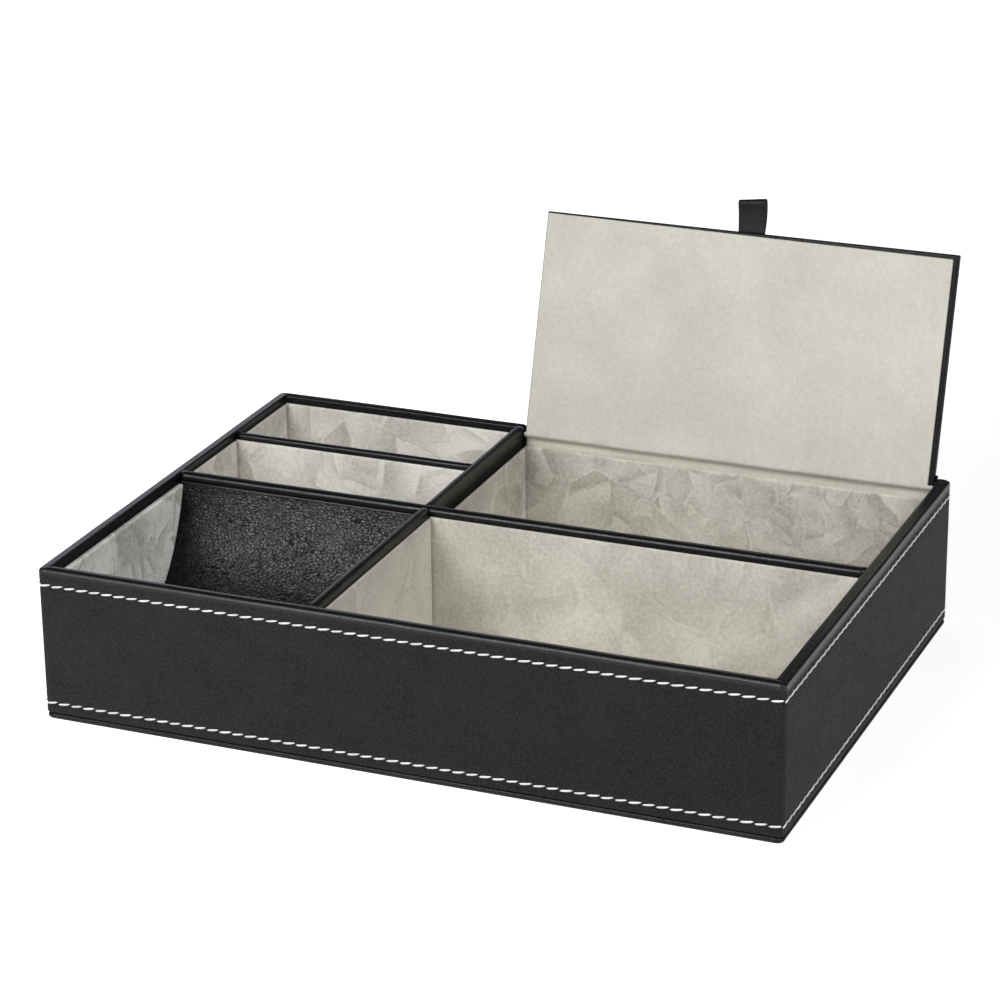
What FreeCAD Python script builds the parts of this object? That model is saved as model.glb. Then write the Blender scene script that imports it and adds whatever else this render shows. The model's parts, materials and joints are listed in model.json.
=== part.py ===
"""Valet tray: a shallow desk box of board covered in stitched leather, lined with suede-covered
cards, with five compartments, one of them under a hinged lid with a ribbon pull.

Frame: the origin is the centre of the underside, +X runs to the right along the front,
+Y to the back and +Z up. Sizes are in millimetres. The lid is drawn as it stands open.
"""
import FreeCAD, Part
import math
import os
import Sketcher

doc = FreeCAD.newDocument("valet_tray")
sheet = doc.addObject("Spreadsheet::Sheet", "sizes")

# The driving dimensions
SIZES = (
    ("tray_width", 280.0, "outside, left to right"),
    ("tray_depth", 200.0, "outside, front to back"),
    ("tray_height", 59.0, "ground to rim"),
    ("leather", 0.7, "leather on walls, dividers and base"),
    ("base_thickness", 2.5, "base board with its leather"),
    ("base_inset", 0.9, "how far the base stands back under the walls"),
    ("base_corner", 3.0, "rounding of the base's corners"),
    ("base_edge", 0.6, "rounding of the base's lower edge"),
    ("wall_board", 3.0, "board inside the outer walls"),
    ("rim_radius", 1.8, "leather rolled over the walls' and dividers' top edges"),
    ("corner_radius", 1.8, "upright outer corners of the walls"),
    ("hem_radius", 0.5, "lower edge of the wall leather"),
    ("turn_in", 15.0, "leather turned in over the rim and down the inside"),
    ("divider_board", 3.0, "board inside the two long dividers"),
    ("centre_divider_x", -33.8, "middle of the front-to-back divider"),
    ("cross_divider_y", 4.6, "middle of the left-to-right divider"),
    ("lap_clearance", 0.1, "play in the half-lap on each side of a divider"),
    ("lap_height", 30.0, "ground to the bottom of the half-lap"),
    ("rear_board", 1.6, "board inside the short rear divider"),
    ("rear_radius", 1.2, "top edges of the short rear divider"),
    ("rear_divider_y", 52.0, "middle of the short rear divider"),
    ("rear_drop", 0.8, "rim to the top of the short rear divider"),
    ("card", 1.2, "lining card with its suede"),
    ("card_edge", 0.4, "rounding of a lining card's top edges"),
    ("floor_card", 1.5, "floor card with its suede"),
    ("lining_drop", 3.1, "rim to the top of the lining cards"),
    ("ledge_drop", 8.0, "rim to the ledge that the lid lies over"),
    ("scoop_radius", 75.0, "hollow face of the scoop"),
    ("scoop_centre", 73.5, "height of the scoop's axis over the ground"),
    ("scoop_card", 1.4, "bent card of the scoop"),
    ("scoop_leather", 0.6, "leather on the scoop"),
    ("scoop_drop", 2.5, "rim to the scoop's top edge"),
    ("scoop_clearance", 0.2, "gap between the scoop and what it leans on or stands between"),
    ("lid_board", 2.5, "board inside the lid"),
    ("lid_leather", 0.6, "leather on the lid"),
    ("lid_card", 1.2, "suede card on the lid's underside"),
    ("lid_edge", 0.5, "rounding of the lid's edges"),
    ("lid_turn_in", 12.0, "leather turned in under the lid's suede card"),
    ("lid_margin", 0.6, "leather showing round the lid's suede card"),
    ("lid_card_corner", 1.0, "corners of the lid's suede card"),
    ("lid_side_clearance", 0.6, "lid to the walls beside it"),
    ("lid_front_clearance", 0.9, "closed lid to the divider in front of it, where the ribbon passes"),
    ("lid_back_clearance", 0.7, "closed lid to the back wall"),
    ("lid_rest_clearance", 0.3, "closed lid to the ledge"),
    ("lid_open_angle", 107.0, "closed to open, in degrees"),
    ("hinge_setback", 1.6, "closed lid's back edge to the hinge line"),
    ("hinge_rise", 3.5, "closed lid's underside to the hinge line"),
    ("hinge_drop", 3.8, "rim to the top of the back wall behind the lid"),
    ("hinge_edge", 0.5, "top edges of the back wall behind the lid"),
    ("hinge_strip", 0.4, "suede strip under the hinge"),
    ("hinge_leather", 0.3, "leather strip on the back wall behind the lid"),
    ("hinge_leather_width", 2.4, "how much of the back wall's top the leather strip covers"),
    ("hinge_lap", 0.2, "how far the suede strip ends below the back wall's top"),
    ("tab_width", 11.6, "ribbon of the pull"),
    ("tab_ribbon", 0.2, "thickness of the ribbon"),
    ("tab_neck", 6.8, "pull's length where its two layers lie together"),
    ("tab_length", 12.8, "pull from the lid's edge to its top"),
    ("tab_depth", 3.0, "loop at the pull's top, front to back"),
    ("tab_centre_x", 51.6, "middle of the pull, left to right"),
    ("tab_lean", 9.0, "pull leaning back while the lid is open, in degrees"),
)
for row, (alias, size, note) in enumerate(SIZES, start=1):
    sheet.set("A%d" % row, alias)
    sheet.set("B%d" % row, str(size))
    sheet.set("C%d" % row, note)
    sheet.setAlias("B%d" % row, alias)
doc.recompute()

# Places worked out from the sizes, as expressions
HALF_WIDTH = "sizes.tray_width / 2"
HALF_DEPTH = "sizes.tray_depth / 2"
WALL = "(sizes.wall_board + 2 * sizes.leather)"
DIVIDER = "(sizes.divider_board + 2 * sizes.leather)"
REAR_DIVIDER = "(sizes.rear_board + 2 * sizes.leather)"
INNER_LEFT = f"(-{HALF_WIDTH} + {WALL})"
INNER_RIGHT = f"({HALF_WIDTH} - {WALL})"
INNER_FRONT = f"(-{HALF_DEPTH} + {WALL})"
INNER_BACK = f"({HALF_DEPTH} - {WALL})"
CENTRE_LEFT = f"(sizes.centre_divider_x - {DIVIDER} / 2)"
CENTRE_RIGHT = f"(sizes.centre_divider_x + {DIVIDER} / 2)"
CROSS_FRONT = f"(sizes.cross_divider_y - {DIVIDER} / 2)"
CROSS_BACK = f"(sizes.cross_divider_y + {DIVIDER} / 2)"
REAR_FRONT = f"(sizes.rear_divider_y - {REAR_DIVIDER} / 2)"
REAR_BACK = f"(sizes.rear_divider_y + {REAR_DIVIDER} / 2)"
FLOOR = "(sizes.base_thickness + sizes.floor_card)"
LINING_TOP = "(sizes.tray_height - sizes.lining_drop)"
LEDGE_TOP = "(sizes.tray_height - sizes.ledge_drop)"
HINGE_WALL_TOP = "(sizes.tray_height - sizes.hinge_drop)"
LID_LEFT = f"({CENTRE_RIGHT} + sizes.lid_side_clearance)"
LID_WIDTH = f"({INNER_RIGHT} - {CENTRE_RIGHT} - 2 * sizes.lid_side_clearance)"
LID_BACK = f"({INNER_BACK} - sizes.lid_back_clearance)"
LID_LENGTH = f"({LID_BACK} - {CROSS_BACK} - sizes.lid_front_clearance)"
HINGE_Y = f"({LID_BACK} + sizes.hinge_setback)"
HINGE_Z = f"({LEDGE_TOP} + sizes.lid_rest_clearance + sizes.hinge_rise)"

sub_parts = []


def value(expression):
    """The number that an expression of the sheet comes to now."""
    return float(sheet.evalExpression(expression))


def new_body(label):
    """Start a body under its own label."""
    body = doc.addObject("PartDesign::Body", label)
    body.Label = label
    return body


def keep(part):
    """List an object as a sub-part of the tray."""
    sub_parts.append(part)
    return part


def origin_plane(body, role):
    """One of the body's own three planes."""
    return [plane for plane in body.Origin.OriginFeatures if plane.Role == role][0]


def new_sketch(body, name, role):
    """An empty sketch flat on one of the body's own planes."""
    sketch = body.newObject("Sketcher::SketchObject", name)
    sketch.AttachmentSupport = [(origin_plane(body, role), "")]
    sketch.MapMode = "FlatFace"
    return sketch


def dimension(sketch, name, kind, first, second, expression):
    """A named dimension between two points of a sketch, tied to the sheet."""
    index = sketch.addConstraint(Sketcher.Constraint(kind, *first, *second, value(expression)))
    sketch.renameConstraint(index, name)
    sketch.setExpression("Constraints." + name, expression)


def rectangle(sketch, width, height, left=None, bottom=None):
    """A rectangle that starts at the sketch's origin, or at left and bottom from it."""
    low_x = value(left) if left else 0
    low_y = value(bottom) if bottom else 0
    high_x = low_x + value(width)
    high_y = low_y + value(height)
    corners = [(low_x, low_y), (high_x, low_y), (high_x, high_y), (low_x, high_y)]
    first = sketch.GeometryCount
    for start, end in zip(corners, corners[1:] + corners[:1]):
        line = Part.LineSegment(FreeCAD.Vector(*start, 0), FreeCAD.Vector(*end, 0))
        sketch.addGeometry(line, False)
    for side in range(4):
        join = (first + side, 2, first + (side + 1) % 4, 1)
        sketch.addConstraint(Sketcher.Constraint("Coincident", *join))
    sketch.addConstraint(Sketcher.Constraint("Horizontal", first))
    sketch.addConstraint(Sketcher.Constraint("Vertical", first + 1))
    sketch.addConstraint(Sketcher.Constraint("Horizontal", first + 2))
    sketch.addConstraint(Sketcher.Constraint("Vertical", first + 3))
    if left is None:
        sketch.addConstraint(Sketcher.Constraint("Coincident", first, 1, -1, 1))
    else:
        dimension(sketch, f"left{first}", "DistanceX", (-1, 1), (first, 1), left)
        dimension(sketch, f"bottom{first}", "DistanceY", (-1, 1), (first, 1), bottom)
    dimension(sketch, f"width{first}", "DistanceX", (first, 1), (first, 2), width)
    dimension(sketch, f"height{first}", "DistanceY", (first + 1, 1), (first + 1, 2), height)


def pad(body, sketch, length, name="Pad"):
    """Push a sketch out along its plane's normal."""
    feature = body.newObject("PartDesign::Pad", name)
    feature.Profile = sketch
    feature.setExpression("Length", length)
    sketch.Visibility = False
    doc.recompute()
    return feature


THROUGH_ALL = 1
LEAST_CUT = 1e-3


def pocket_through(body, sketch, name):
    """Cut a sketch through the whole body, both ways, and make sure that it cut."""
    before = body.Shape.Volume
    feature = body.newObject("PartDesign::Pocket", name)
    feature.Profile = sketch
    feature.Type = THROUGH_ALL
    feature.Midplane = True
    doc.recompute()
    if feature.Shape.Volume >= before - LEAST_CUT:
        raise RuntimeError(name + " cut nothing")
    return feature


def edges_of(shape, test):
    """Names of the straight or curved edges whose box passes the test."""
    return ["Edge%d" % number for number, edge in enumerate(shape.Edges, start=1) if test(edge.BoundBox)]


def fillet(body, base, test, radius, name="Fillet"):
    """Round the edges of the base feature that pass the test."""
    feature = body.newObject("PartDesign::Fillet", name)
    feature.Base = (base, edges_of(base.Shape, test))
    feature.setExpression("Radius", radius)
    doc.recompute()
    return feature


def place(part, across, back, up, turn=0):
    """Put a part's own origin at a point of the tray, turned about the upright if asked."""
    part.Placement = FreeCAD.Placement(FreeCAD.Vector(), FreeCAD.Rotation(FreeCAD.Vector(0, 0, 1), turn))
    part.setExpression("Placement.Base.x", across)
    part.setExpression("Placement.Base.y", back)
    part.setExpression("Placement.Base.z", up)


def place_on_lid(part, across, back, up, lean="sizes.lid_open_angle"):
    """Put a part's own origin at a point of the closed lid, measured from the hinge line, and
    take it with the lid about that line to where the lid stands open, turned back by the lean."""
    part.Placement = FreeCAD.Placement(FreeCAD.Vector(), FreeCAD.Rotation(FreeCAD.Vector(1, 0, 0), -1))
    angle = "sizes.lid_open_angle"
    part.setExpression("Placement.Base.x", across)
    part.setExpression("Placement.Base.y", f"{HINGE_Y} + ({back}) * cos({angle}) + ({up}) * sin({angle})")
    part.setExpression("Placement.Base.z", f"{HINGE_Z} - ({back}) * sin({angle}) + ({up}) * cos({angle})")
    part.setExpression("Placement.Rotation.Angle", "-" + lean)


def slab(label, width, depth, height, roundings=()):
    """A board drawn from its own corner: width along X, depth along Y, height along Z.
    Each rounding is a test of an edge's box and a radius."""
    body = new_body(label)
    sketch = new_sketch(body, label + "_outline", "XY_Plane")
    rectangle(sketch, width, depth)
    last = pad(body, sketch, height, label + "_pad")
    for number, (test, radius) in enumerate(roundings, start=1):
        last = fillet(body, last, test, radius, "%s_round%d" % (label, number))
    return body


def notch(body, label, left, bottom, width, height):
    """Cut a rectangle through a board's thickness, seen from its long side."""
    sketch = new_sketch(body, label, "XZ_Plane")
    rectangle(sketch, width, height, left, bottom)
    return pocket_through(body, sketch, label + "_cut")


def cut(base, tools, label):
    """What is left of the base once the tools are taken away."""
    fused = tools[0]
    if len(tools) > 1:
        fused = doc.addObject("Part::MultiFuse", label + "_inside")
        fused.Shapes = tools
    result = doc.addObject("Part::Cut", label)
    result.Base = base
    result.Tool = fused
    doc.recompute()
    return result


# Tests that pick edges of a slab by where they lie
TOUCHING = 1e-4


def near(first, second):
    """Two lengths are the same."""
    return abs(first - second) < TOUCHING


def top_edge(height):
    """Edges that lie flat at this height."""
    level = value(height)
    return lambda box: near(box.ZMin, level) and near(box.ZMax, level)


def top_edges_along_x(height):
    """Flat edges at this height that run along X."""
    flat = top_edge(height)
    return lambda box: flat(box) and near(box.YLength, 0) and not near(box.XLength, 0)


def bottom_edge(box):
    """Edges that lie in the slab's own base plane."""
    return near(box.ZMax, 0)


def upright(box):
    """Edges that stand upright."""
    return near(box.XLength, 0) and near(box.YLength, 0)


def front_upright(box):
    """Upright edges of the slab's own front face."""
    return upright(box) and near(box.YMax, 0)


# The base: a board in a leather pan
BASE_WIDTH = "(sizes.tray_width - 2 * sizes.base_inset)"
BASE_DEPTH = "(sizes.tray_depth - 2 * sizes.base_inset)"
base_form = slab("base_form", BASE_WIDTH, BASE_DEPTH, "sizes.base_thickness",
                 [(upright, "sizes.base_corner"), (bottom_edge, "sizes.base_edge")])
place(base_form, f"-{BASE_WIDTH} / 2", f"-{BASE_DEPTH} / 2", "0")
base_board = keep(slab("base_board", f"{BASE_WIDTH} - 2 * sizes.leather",
                       f"{BASE_DEPTH} - 2 * sizes.leather", "sizes.base_thickness - sizes.leather",
                       [(upright, "sizes.base_corner - sizes.leather")]))
place(base_board, f"-({BASE_WIDTH} / 2 - sizes.leather)", f"-({BASE_DEPTH} / 2 - sizes.leather)",
      "sizes.leather")
base_cover = keep(cut(base_form, [base_board], "base_cover"))

# The four wall boards, standing on the base
BOARD_HEIGHT = "(sizes.tray_height - sizes.leather - sizes.base_thickness)"
BOARD_EDGE = "(sizes.rim_radius - sizes.leather)"
FRONT_LENGTH = "(sizes.tray_width - 2 * sizes.leather)"
SIDE_LENGTH = "(sizes.tray_depth - 2 * sizes.leather - 2 * sizes.wall_board)"
BOARD_CORNER = "(sizes.corner_radius - sizes.leather)"
BOARD_OUTER_X = f"({HALF_WIDTH} - sizes.leather)"
BOARD_OUTER_Y = f"({HALF_DEPTH} - sizes.leather)"
STANDS_AT = "sizes.base_thickness"


def long_wall_board(label):
    """The front or the back wall's board, its outer corners and its top edge rounded."""
    return keep(slab(label, FRONT_LENGTH, "sizes.wall_board", BOARD_HEIGHT,
                     [(front_upright, BOARD_CORNER), (top_edge(BOARD_HEIGHT), BOARD_EDGE)]))


def side_wall_board(label):
    """The left or the right wall's board, which stands between the other two."""
    return keep(slab(label, SIDE_LENGTH, "sizes.wall_board", BOARD_HEIGHT,
                     [(top_edges_along_x(BOARD_HEIGHT), BOARD_EDGE)]))


front_board = long_wall_board("front_wall_board")
place(front_board, "-" + BOARD_OUTER_X, "-" + BOARD_OUTER_Y, STANDS_AT)
back_board = long_wall_board("back_wall_board")
notch(back_board, "lowered_behind_lid",
      f"({BOARD_OUTER_X} - {INNER_RIGHT} - sizes.leather)",
      f"({HINGE_WALL_TOP} - sizes.leather - sizes.base_thickness)",
      f"({INNER_RIGHT} - {CENTRE_RIGHT} + 2 * sizes.leather)", "2 * sizes.hinge_drop")
place(back_board, BOARD_OUTER_X, BOARD_OUTER_Y, STANDS_AT, 180)
left_board = side_wall_board("left_wall_board")
place(left_board, "-" + BOARD_OUTER_X, f"{SIDE_LENGTH} / 2", STANDS_AT, -90)
right_board = side_wall_board("right_wall_board")
place(right_board, BOARD_OUTER_X, f"-{SIDE_LENGTH} / 2", STANDS_AT, 90)
wall_boards = [front_board, back_board, left_board, right_board]

# The leather round the walls: the outer form less the boards, rolled over the rim and turned in
WALL_HEIGHT = "(sizes.tray_height - sizes.base_thickness)"
form = new_body("wall_form")
outline = new_sketch(form, "wall_outline", "XY_Plane")
rectangle(outline, "sizes.tray_width", "sizes.tray_depth")
rectangle(outline, f"sizes.tray_width - 2 * {WALL}", f"sizes.tray_depth - 2 * {WALL}", WALL, WALL)
ring = pad(form, outline, WALL_HEIGHT, "wall_ring")


def outer_upright(box):
    """The four upright edges at the outer corners."""
    at_side = near(box.XMin, 0) or near(box.XMin, value("sizes.tray_width"))
    at_end = near(box.YMin, 0) or near(box.YMin, value("sizes.tray_depth"))
    return upright(box) and at_side and at_end


def outer_hem(box):
    """The outer lower edge all round."""
    outside = value(WALL) / 2
    reaches = (box.XMin < outside or box.XMax > value("sizes.tray_width") - outside
               or box.YMin < outside or box.YMax > value("sizes.tray_depth") - outside)
    return bottom_edge(box) and reaches


rounded = fillet(form, ring, outer_upright, "sizes.corner_radius", "wall_corners")
rounded = fillet(form, rounded, top_edge(WALL_HEIGHT), "sizes.rim_radius", "rim")
rounded = fillet(form, rounded, outer_hem, "sizes.hem_radius", "hem")
LOW_TOP = f"({HINGE_WALL_TOP} - sizes.base_thickness)"
JUST_INSIDE_BACK_WALL = f"(sizes.tray_depth - {WALL} - {WALL} / 2)"
opening = new_sketch(form, "lowered_behind_lid", "XZ_Plane")
opening.setExpression("AttachmentOffset.Base.z", "-" + JUST_INSIDE_BACK_WALL)
rectangle(opening, f"{INNER_RIGHT} - {CENTRE_RIGHT}", "2 * sizes.hinge_drop",
          f"{CENTRE_RIGHT} + {HALF_WIDTH}", LOW_TOP)
lowered = form.newObject("PartDesign::Pocket", "lowered_cut")
lowered.Profile = opening
lowered.Type = THROUGH_ALL
doc.recompute()
if lowered.Shape.Volume >= rounded.Shape.Volume - LEAST_CUT:
    raise RuntimeError("the back wall was not lowered")
fillet(form, lowered, top_edges_along_x(LOW_TOP), "sizes.hinge_edge", "lowered_round")
place(form, f"-{HALF_WIDTH}", f"-{HALF_DEPTH}", "sizes.base_thickness")

relief = doc.addObject("Part::Box", "inside_below_turn_in")
relief.setExpression("Length", f"2 * ({BOARD_OUTER_X} - sizes.wall_board)")
relief.setExpression("Width", f"2 * ({BOARD_OUTER_Y} - sizes.wall_board)")
relief.setExpression("Height", "sizes.tray_height - sizes.turn_in")
place(relief, f"-({BOARD_OUTER_X} - sizes.wall_board)", f"-({BOARD_OUTER_Y} - sizes.wall_board)", "0")
outer_cover = keep(cut(form, wall_boards + [relief], "outer_cover"))


# A divider: a board in a leather cap, drawn along X and turned where it runs front to back
def divider(name, length, board, height, radius, slot=None):
    """Return the board and its leather. The slot is left, bottom, width and height."""
    whole = f"({board} + 2 * sizes.leather)"
    cap = slab(name + "_form", length, whole, height, [(top_edges_along_x(height), radius)])
    core = slab(name + "_board", length, board, f"{height} - sizes.leather",
                [(top_edges_along_x(f"{height} - sizes.leather"), f"{radius} - sizes.leather")])
    if slot:
        notch(cap, name + "_cap_slot", *slot)
        notch(core, name + "_board_slot", *slot)
    return cap, keep(core)


LAP = f"({DIVIDER} + 2 * sizes.lap_clearance)"
LAP_LEVEL = "(sizes.lap_height - sizes.base_thickness)"

# The front-to-back divider, slotted from above for the other one
CENTRE_LENGTH = f"({INNER_BACK} - {INNER_FRONT})"
centre_slot = (f"sizes.cross_divider_y - {INNER_FRONT} - {LAP} / 2", LAP_LEVEL, LAP, WALL_HEIGHT)
cap, core = divider("centre_divider", CENTRE_LENGTH, "sizes.divider_board", WALL_HEIGHT, "sizes.rim_radius",
                    centre_slot)
place(cap, CENTRE_RIGHT, INNER_FRONT, "sizes.base_thickness", 90)
place(core, f"{CENTRE_RIGHT} - sizes.leather", INNER_FRONT, "sizes.base_thickness", 90)
keep(cut(cap, [core], "centre_divider_cover"))

# The left-to-right divider, slotted from below
CROSS_LENGTH = f"({INNER_RIGHT} - {INNER_LEFT})"
cross_slot = (f"sizes.centre_divider_x - {INNER_LEFT} - {LAP} / 2", f"-{LAP_LEVEL}", LAP,
              f"2 * {LAP_LEVEL}")
cap, core = divider("cross_divider", CROSS_LENGTH, "sizes.divider_board", WALL_HEIGHT, "sizes.rim_radius",
                    cross_slot)
place(cap, INNER_LEFT, CROSS_FRONT, "sizes.base_thickness")
place(core, INNER_LEFT, f"{CROSS_FRONT} + sizes.leather", "sizes.base_thickness")
keep(cut(cap, [core], "cross_divider_cover"))

# The short rear divider, thinner and a little lower
REAR_HEIGHT = f"({WALL_HEIGHT} - sizes.rear_drop)"
cap, core = divider("rear_divider", f"({CENTRE_LEFT} - {INNER_LEFT})", "sizes.rear_board", REAR_HEIGHT,
                    "sizes.rear_radius")
place(cap, INNER_LEFT, REAR_FRONT, "sizes.base_thickness")
place(core, INNER_LEFT, f"{REAR_FRONT} + sizes.leather", "sizes.base_thickness")
keep(cut(cap, [core], "rear_divider_cover"))


# The linings: a floor card, and wall cards that stand on it
def lining(name, left, right, front, back, top, walls="left right front back"):
    """Line a compartment between four planes with a floor card and the wall cards named."""
    width = f"({right} - {left})"
    depth = f"({back} - {front})"
    floor = keep(slab(name + "_floor", width, depth, "sizes.floor_card"))
    place(floor, left, front, "sizes.base_thickness")
    height = f"({top} - {FLOOR})"
    side_depth = f"({depth} - 2 * sizes.card)"
    rounding = [(top_edges_along_x(height), "sizes.card_edge")]
    for wall in walls.split():
        length = width if wall in ("front", "back") else side_depth
        card = keep(slab(f"{name}_{wall}_lining", length, "sizes.card", height, rounding))
        if wall == "front":
            place(card, left, front, FLOOR)
        elif wall == "back":
            place(card, left, f"{back} - sizes.card", FLOOR)
        elif wall == "left":
            place(card, f"{left} + sizes.card", f"{front} + sizes.card", FLOOR, 90)
        else:
            place(card, right, f"{front} + sizes.card", FLOOR, 90)


lining("scoop_bay", INNER_LEFT, CENTRE_LEFT, INNER_FRONT, CROSS_FRONT, LINING_TOP, "left right front")
lining("front_bay", CENTRE_RIGHT, INNER_RIGHT, INNER_FRONT, CROSS_FRONT, LINING_TOP)
lining("lidded_bay", CENTRE_RIGHT, INNER_RIGHT, CROSS_BACK, INNER_BACK, LEDGE_TOP)
lining("middle_bay", INNER_LEFT, CENTRE_LEFT, CROSS_BACK, REAR_FRONT, LINING_TOP)
lining("rear_bay", INNER_LEFT, CENTRE_LEFT, REAR_BACK, INNER_BACK, LINING_TOP)

# The scoop: a card bent to a hollow arc, leather on its face, leaning on the cross divider
SCOOP_LEFT = f"({INNER_LEFT} + sizes.card + sizes.scoop_clearance)"
SCOOP_WIDTH = f"({CENTRE_LEFT} - {INNER_LEFT} - 2 * sizes.card - 2 * sizes.scoop_clearance)"
SCOOP_TOP = "(sizes.tray_height - sizes.scoop_drop)"
SCOOP_BACK_RADIUS = "(sizes.scoop_radius + sizes.scoop_leather + sizes.scoop_card)"
SCOOP_BACK = f"({CROSS_FRONT} - sizes.scoop_clearance)"
SCOOP_AXIS_Y = f"({SCOOP_BACK} - sqrt({SCOOP_BACK_RADIUS} ^ 2 - (sizes.scoop_centre - {SCOOP_TOP}) ^ 2))"


def scoop_layer(label, inner_radius, outer_radius):
    """The part of a tube wall between the floor and the scoop's top edge, behind the tube's axis."""
    solids = []
    for name, radius in (("outer", outer_radius), ("inner", inner_radius)):
        drum = doc.addObject("Part::Cylinder", f"{label}_{name}")
        drum.Placement = FreeCAD.Placement(FreeCAD.Vector(), FreeCAD.Rotation(FreeCAD.Vector(0, 1, 0), 90))
        drum.setExpression("Radius", radius)
        drum.setExpression("Height", SCOOP_WIDTH)
        drum.setExpression("Placement.Base.x", SCOOP_LEFT)
        drum.setExpression("Placement.Base.y", SCOOP_AXIS_Y)
        drum.setExpression("Placement.Base.z", "sizes.scoop_centre")
        solids.append(drum)
    band = cut(solids[0], [solids[1]], label + "_band")
    reach = doc.addObject("Part::Box", label + "_reach")
    reach.setExpression("Length", SCOOP_WIDTH)
    reach.setExpression("Width", outer_radius)
    reach.setExpression("Height", f"{SCOOP_TOP} - {FLOOR}")
    place(reach, SCOOP_LEFT, SCOOP_AXIS_Y, FLOOR)
    layer = doc.addObject("Part::Common", label)
    layer.Base = band
    layer.Tool = reach
    doc.recompute()
    return keep(layer)


scoop_layer("scoop_leather", "sizes.scoop_radius", "sizes.scoop_radius + sizes.scoop_leather")
scoop_layer("scoop_card", "sizes.scoop_radius + sizes.scoop_leather", SCOOP_BACK_RADIUS)

# The lid, drawn closed from its own left front corner and turned open about the hinge line
LID_FRONT = f"(-{LID_LENGTH} - sizes.hinge_setback)"
LID_UNDER = "(-sizes.hinge_rise)"
LID_WRAP = "(sizes.lid_board + 2 * sizes.lid_leather)"
lid_form = slab("lid_form", LID_WIDTH, LID_LENGTH, LID_WRAP,
                [(upright, "sizes.lid_edge"), (top_edge(LID_WRAP), "sizes.lid_edge"),
                 (bottom_edge, "sizes.lid_edge")])
place_on_lid(lid_form, LID_LEFT, LID_FRONT, f"{LID_UNDER} + sizes.lid_card")
lid_board = keep(slab("lid_board", f"{LID_WIDTH} - 2 * sizes.lid_leather",
                      f"{LID_LENGTH} - 2 * sizes.lid_leather", "sizes.lid_board"))
place_on_lid(lid_board, f"{LID_LEFT} + sizes.lid_leather", f"{LID_FRONT} + sizes.lid_leather",
             f"{LID_UNDER} + sizes.lid_card + sizes.lid_leather")
window = doc.addObject("Part::Box", "lid_turn_in_window")
window.setExpression("Length", f"{LID_WIDTH} - 2 * sizes.lid_turn_in")
window.setExpression("Width", f"{LID_LENGTH} - 2 * sizes.lid_turn_in")
window.setExpression("Height", "sizes.lid_board")
place_on_lid(window, f"{LID_LEFT} + sizes.lid_turn_in", f"{LID_FRONT} + sizes.lid_turn_in",
             f"{LID_UNDER} + sizes.lid_card")
keep(cut(lid_form, [lid_board, window], "lid_cover"))

# The suede card's rounded face is underneath while the lid is closed
lid_lining = keep(slab("lid_lining", f"{LID_WIDTH} - 2 * sizes.lid_margin",
                       f"{LID_LENGTH} - sizes.lid_margin", "sizes.lid_card",
                       [(upright, "sizes.lid_card_corner"), (bottom_edge, "sizes.card_edge")]))
place_on_lid(lid_lining, f"{LID_LEFT} + sizes.lid_margin", f"{LID_FRONT} + sizes.lid_margin", LID_UNDER)

# The hinge: a suede strip on the back wall's inside, and a leather strip on its lowered top
hinge_strip = keep(slab("hinge_strip", LID_WIDTH, "sizes.hinge_strip",
                        f"{HINGE_WALL_TOP} - sizes.hinge_lap - {LEDGE_TOP}"))
place(hinge_strip, LID_LEFT, f"{INNER_BACK} - sizes.hinge_strip", LEDGE_TOP)
hinge_leather = keep(slab("hinge_leather", LID_WIDTH, "sizes.hinge_leather_width", "sizes.hinge_leather"))
place(hinge_leather, LID_LEFT, f"{HALF_DEPTH} - sizes.hinge_edge - sizes.hinge_leather_width",
      HINGE_WALL_TOP)

# The pull: a ribbon looped on itself, its two layers together at the neck and apart at the top
LOOP_RADIUS = "(sizes.tab_depth / 2)"
LOOP_LEVEL = f"(sizes.tab_length - {LOOP_RADIUS})"


def chain(sketch, corners, radius):
    """Lines from corner to corner, from the loop's left side down and up again to its right side,
    and a half circle from there back over the top."""
    side = value(radius)
    level = value(LOOP_LEVEL)
    corners = [(-side, level)] + corners + [(side, level)]
    first = sketch.GeometryCount
    for start, end in zip(corners, corners[1:]):
        sketch.addGeometry(Part.LineSegment(FreeCAD.Vector(*start, 0), FreeCAD.Vector(*end, 0)))
    arc = first + len(corners) - 1
    middle = FreeCAD.Vector(0, corners[-1][1], 0)
    circle = Part.Circle(middle, FreeCAD.Vector(0, 0, 1), corners[-1][0])
    sketch.addGeometry(Part.ArcOfCircle(circle, 0, math.pi))
    for line in range(first, arc):
        sketch.addConstraint(Sketcher.Constraint("Coincident", line, 2, line + 1, 1))
    sketch.addConstraint(Sketcher.Constraint("Coincident", arc, 2, first, 1))
    sketch.addConstraint(Sketcher.Constraint("PointOnObject", arc, 3, -2))
    sketch.addConstraint(Sketcher.Constraint("Symmetric", arc, 1, arc, 2, arc, 3))
    dimension(sketch, f"level{first}", "DistanceY", (-1, 1), (arc, 3), LOOP_LEVEL)
    dimension(sketch, f"start{first}", "DistanceY", (-1, 1), (arc, 1), LOOP_LEVEL)
    index = sketch.addConstraint(Sketcher.Constraint("Radius", arc, value(radius)))
    sketch.renameConstraint(index, f"radius{first}")
    sketch.setExpression(f"Constraints.radius{first}", radius)
    return first


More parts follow.
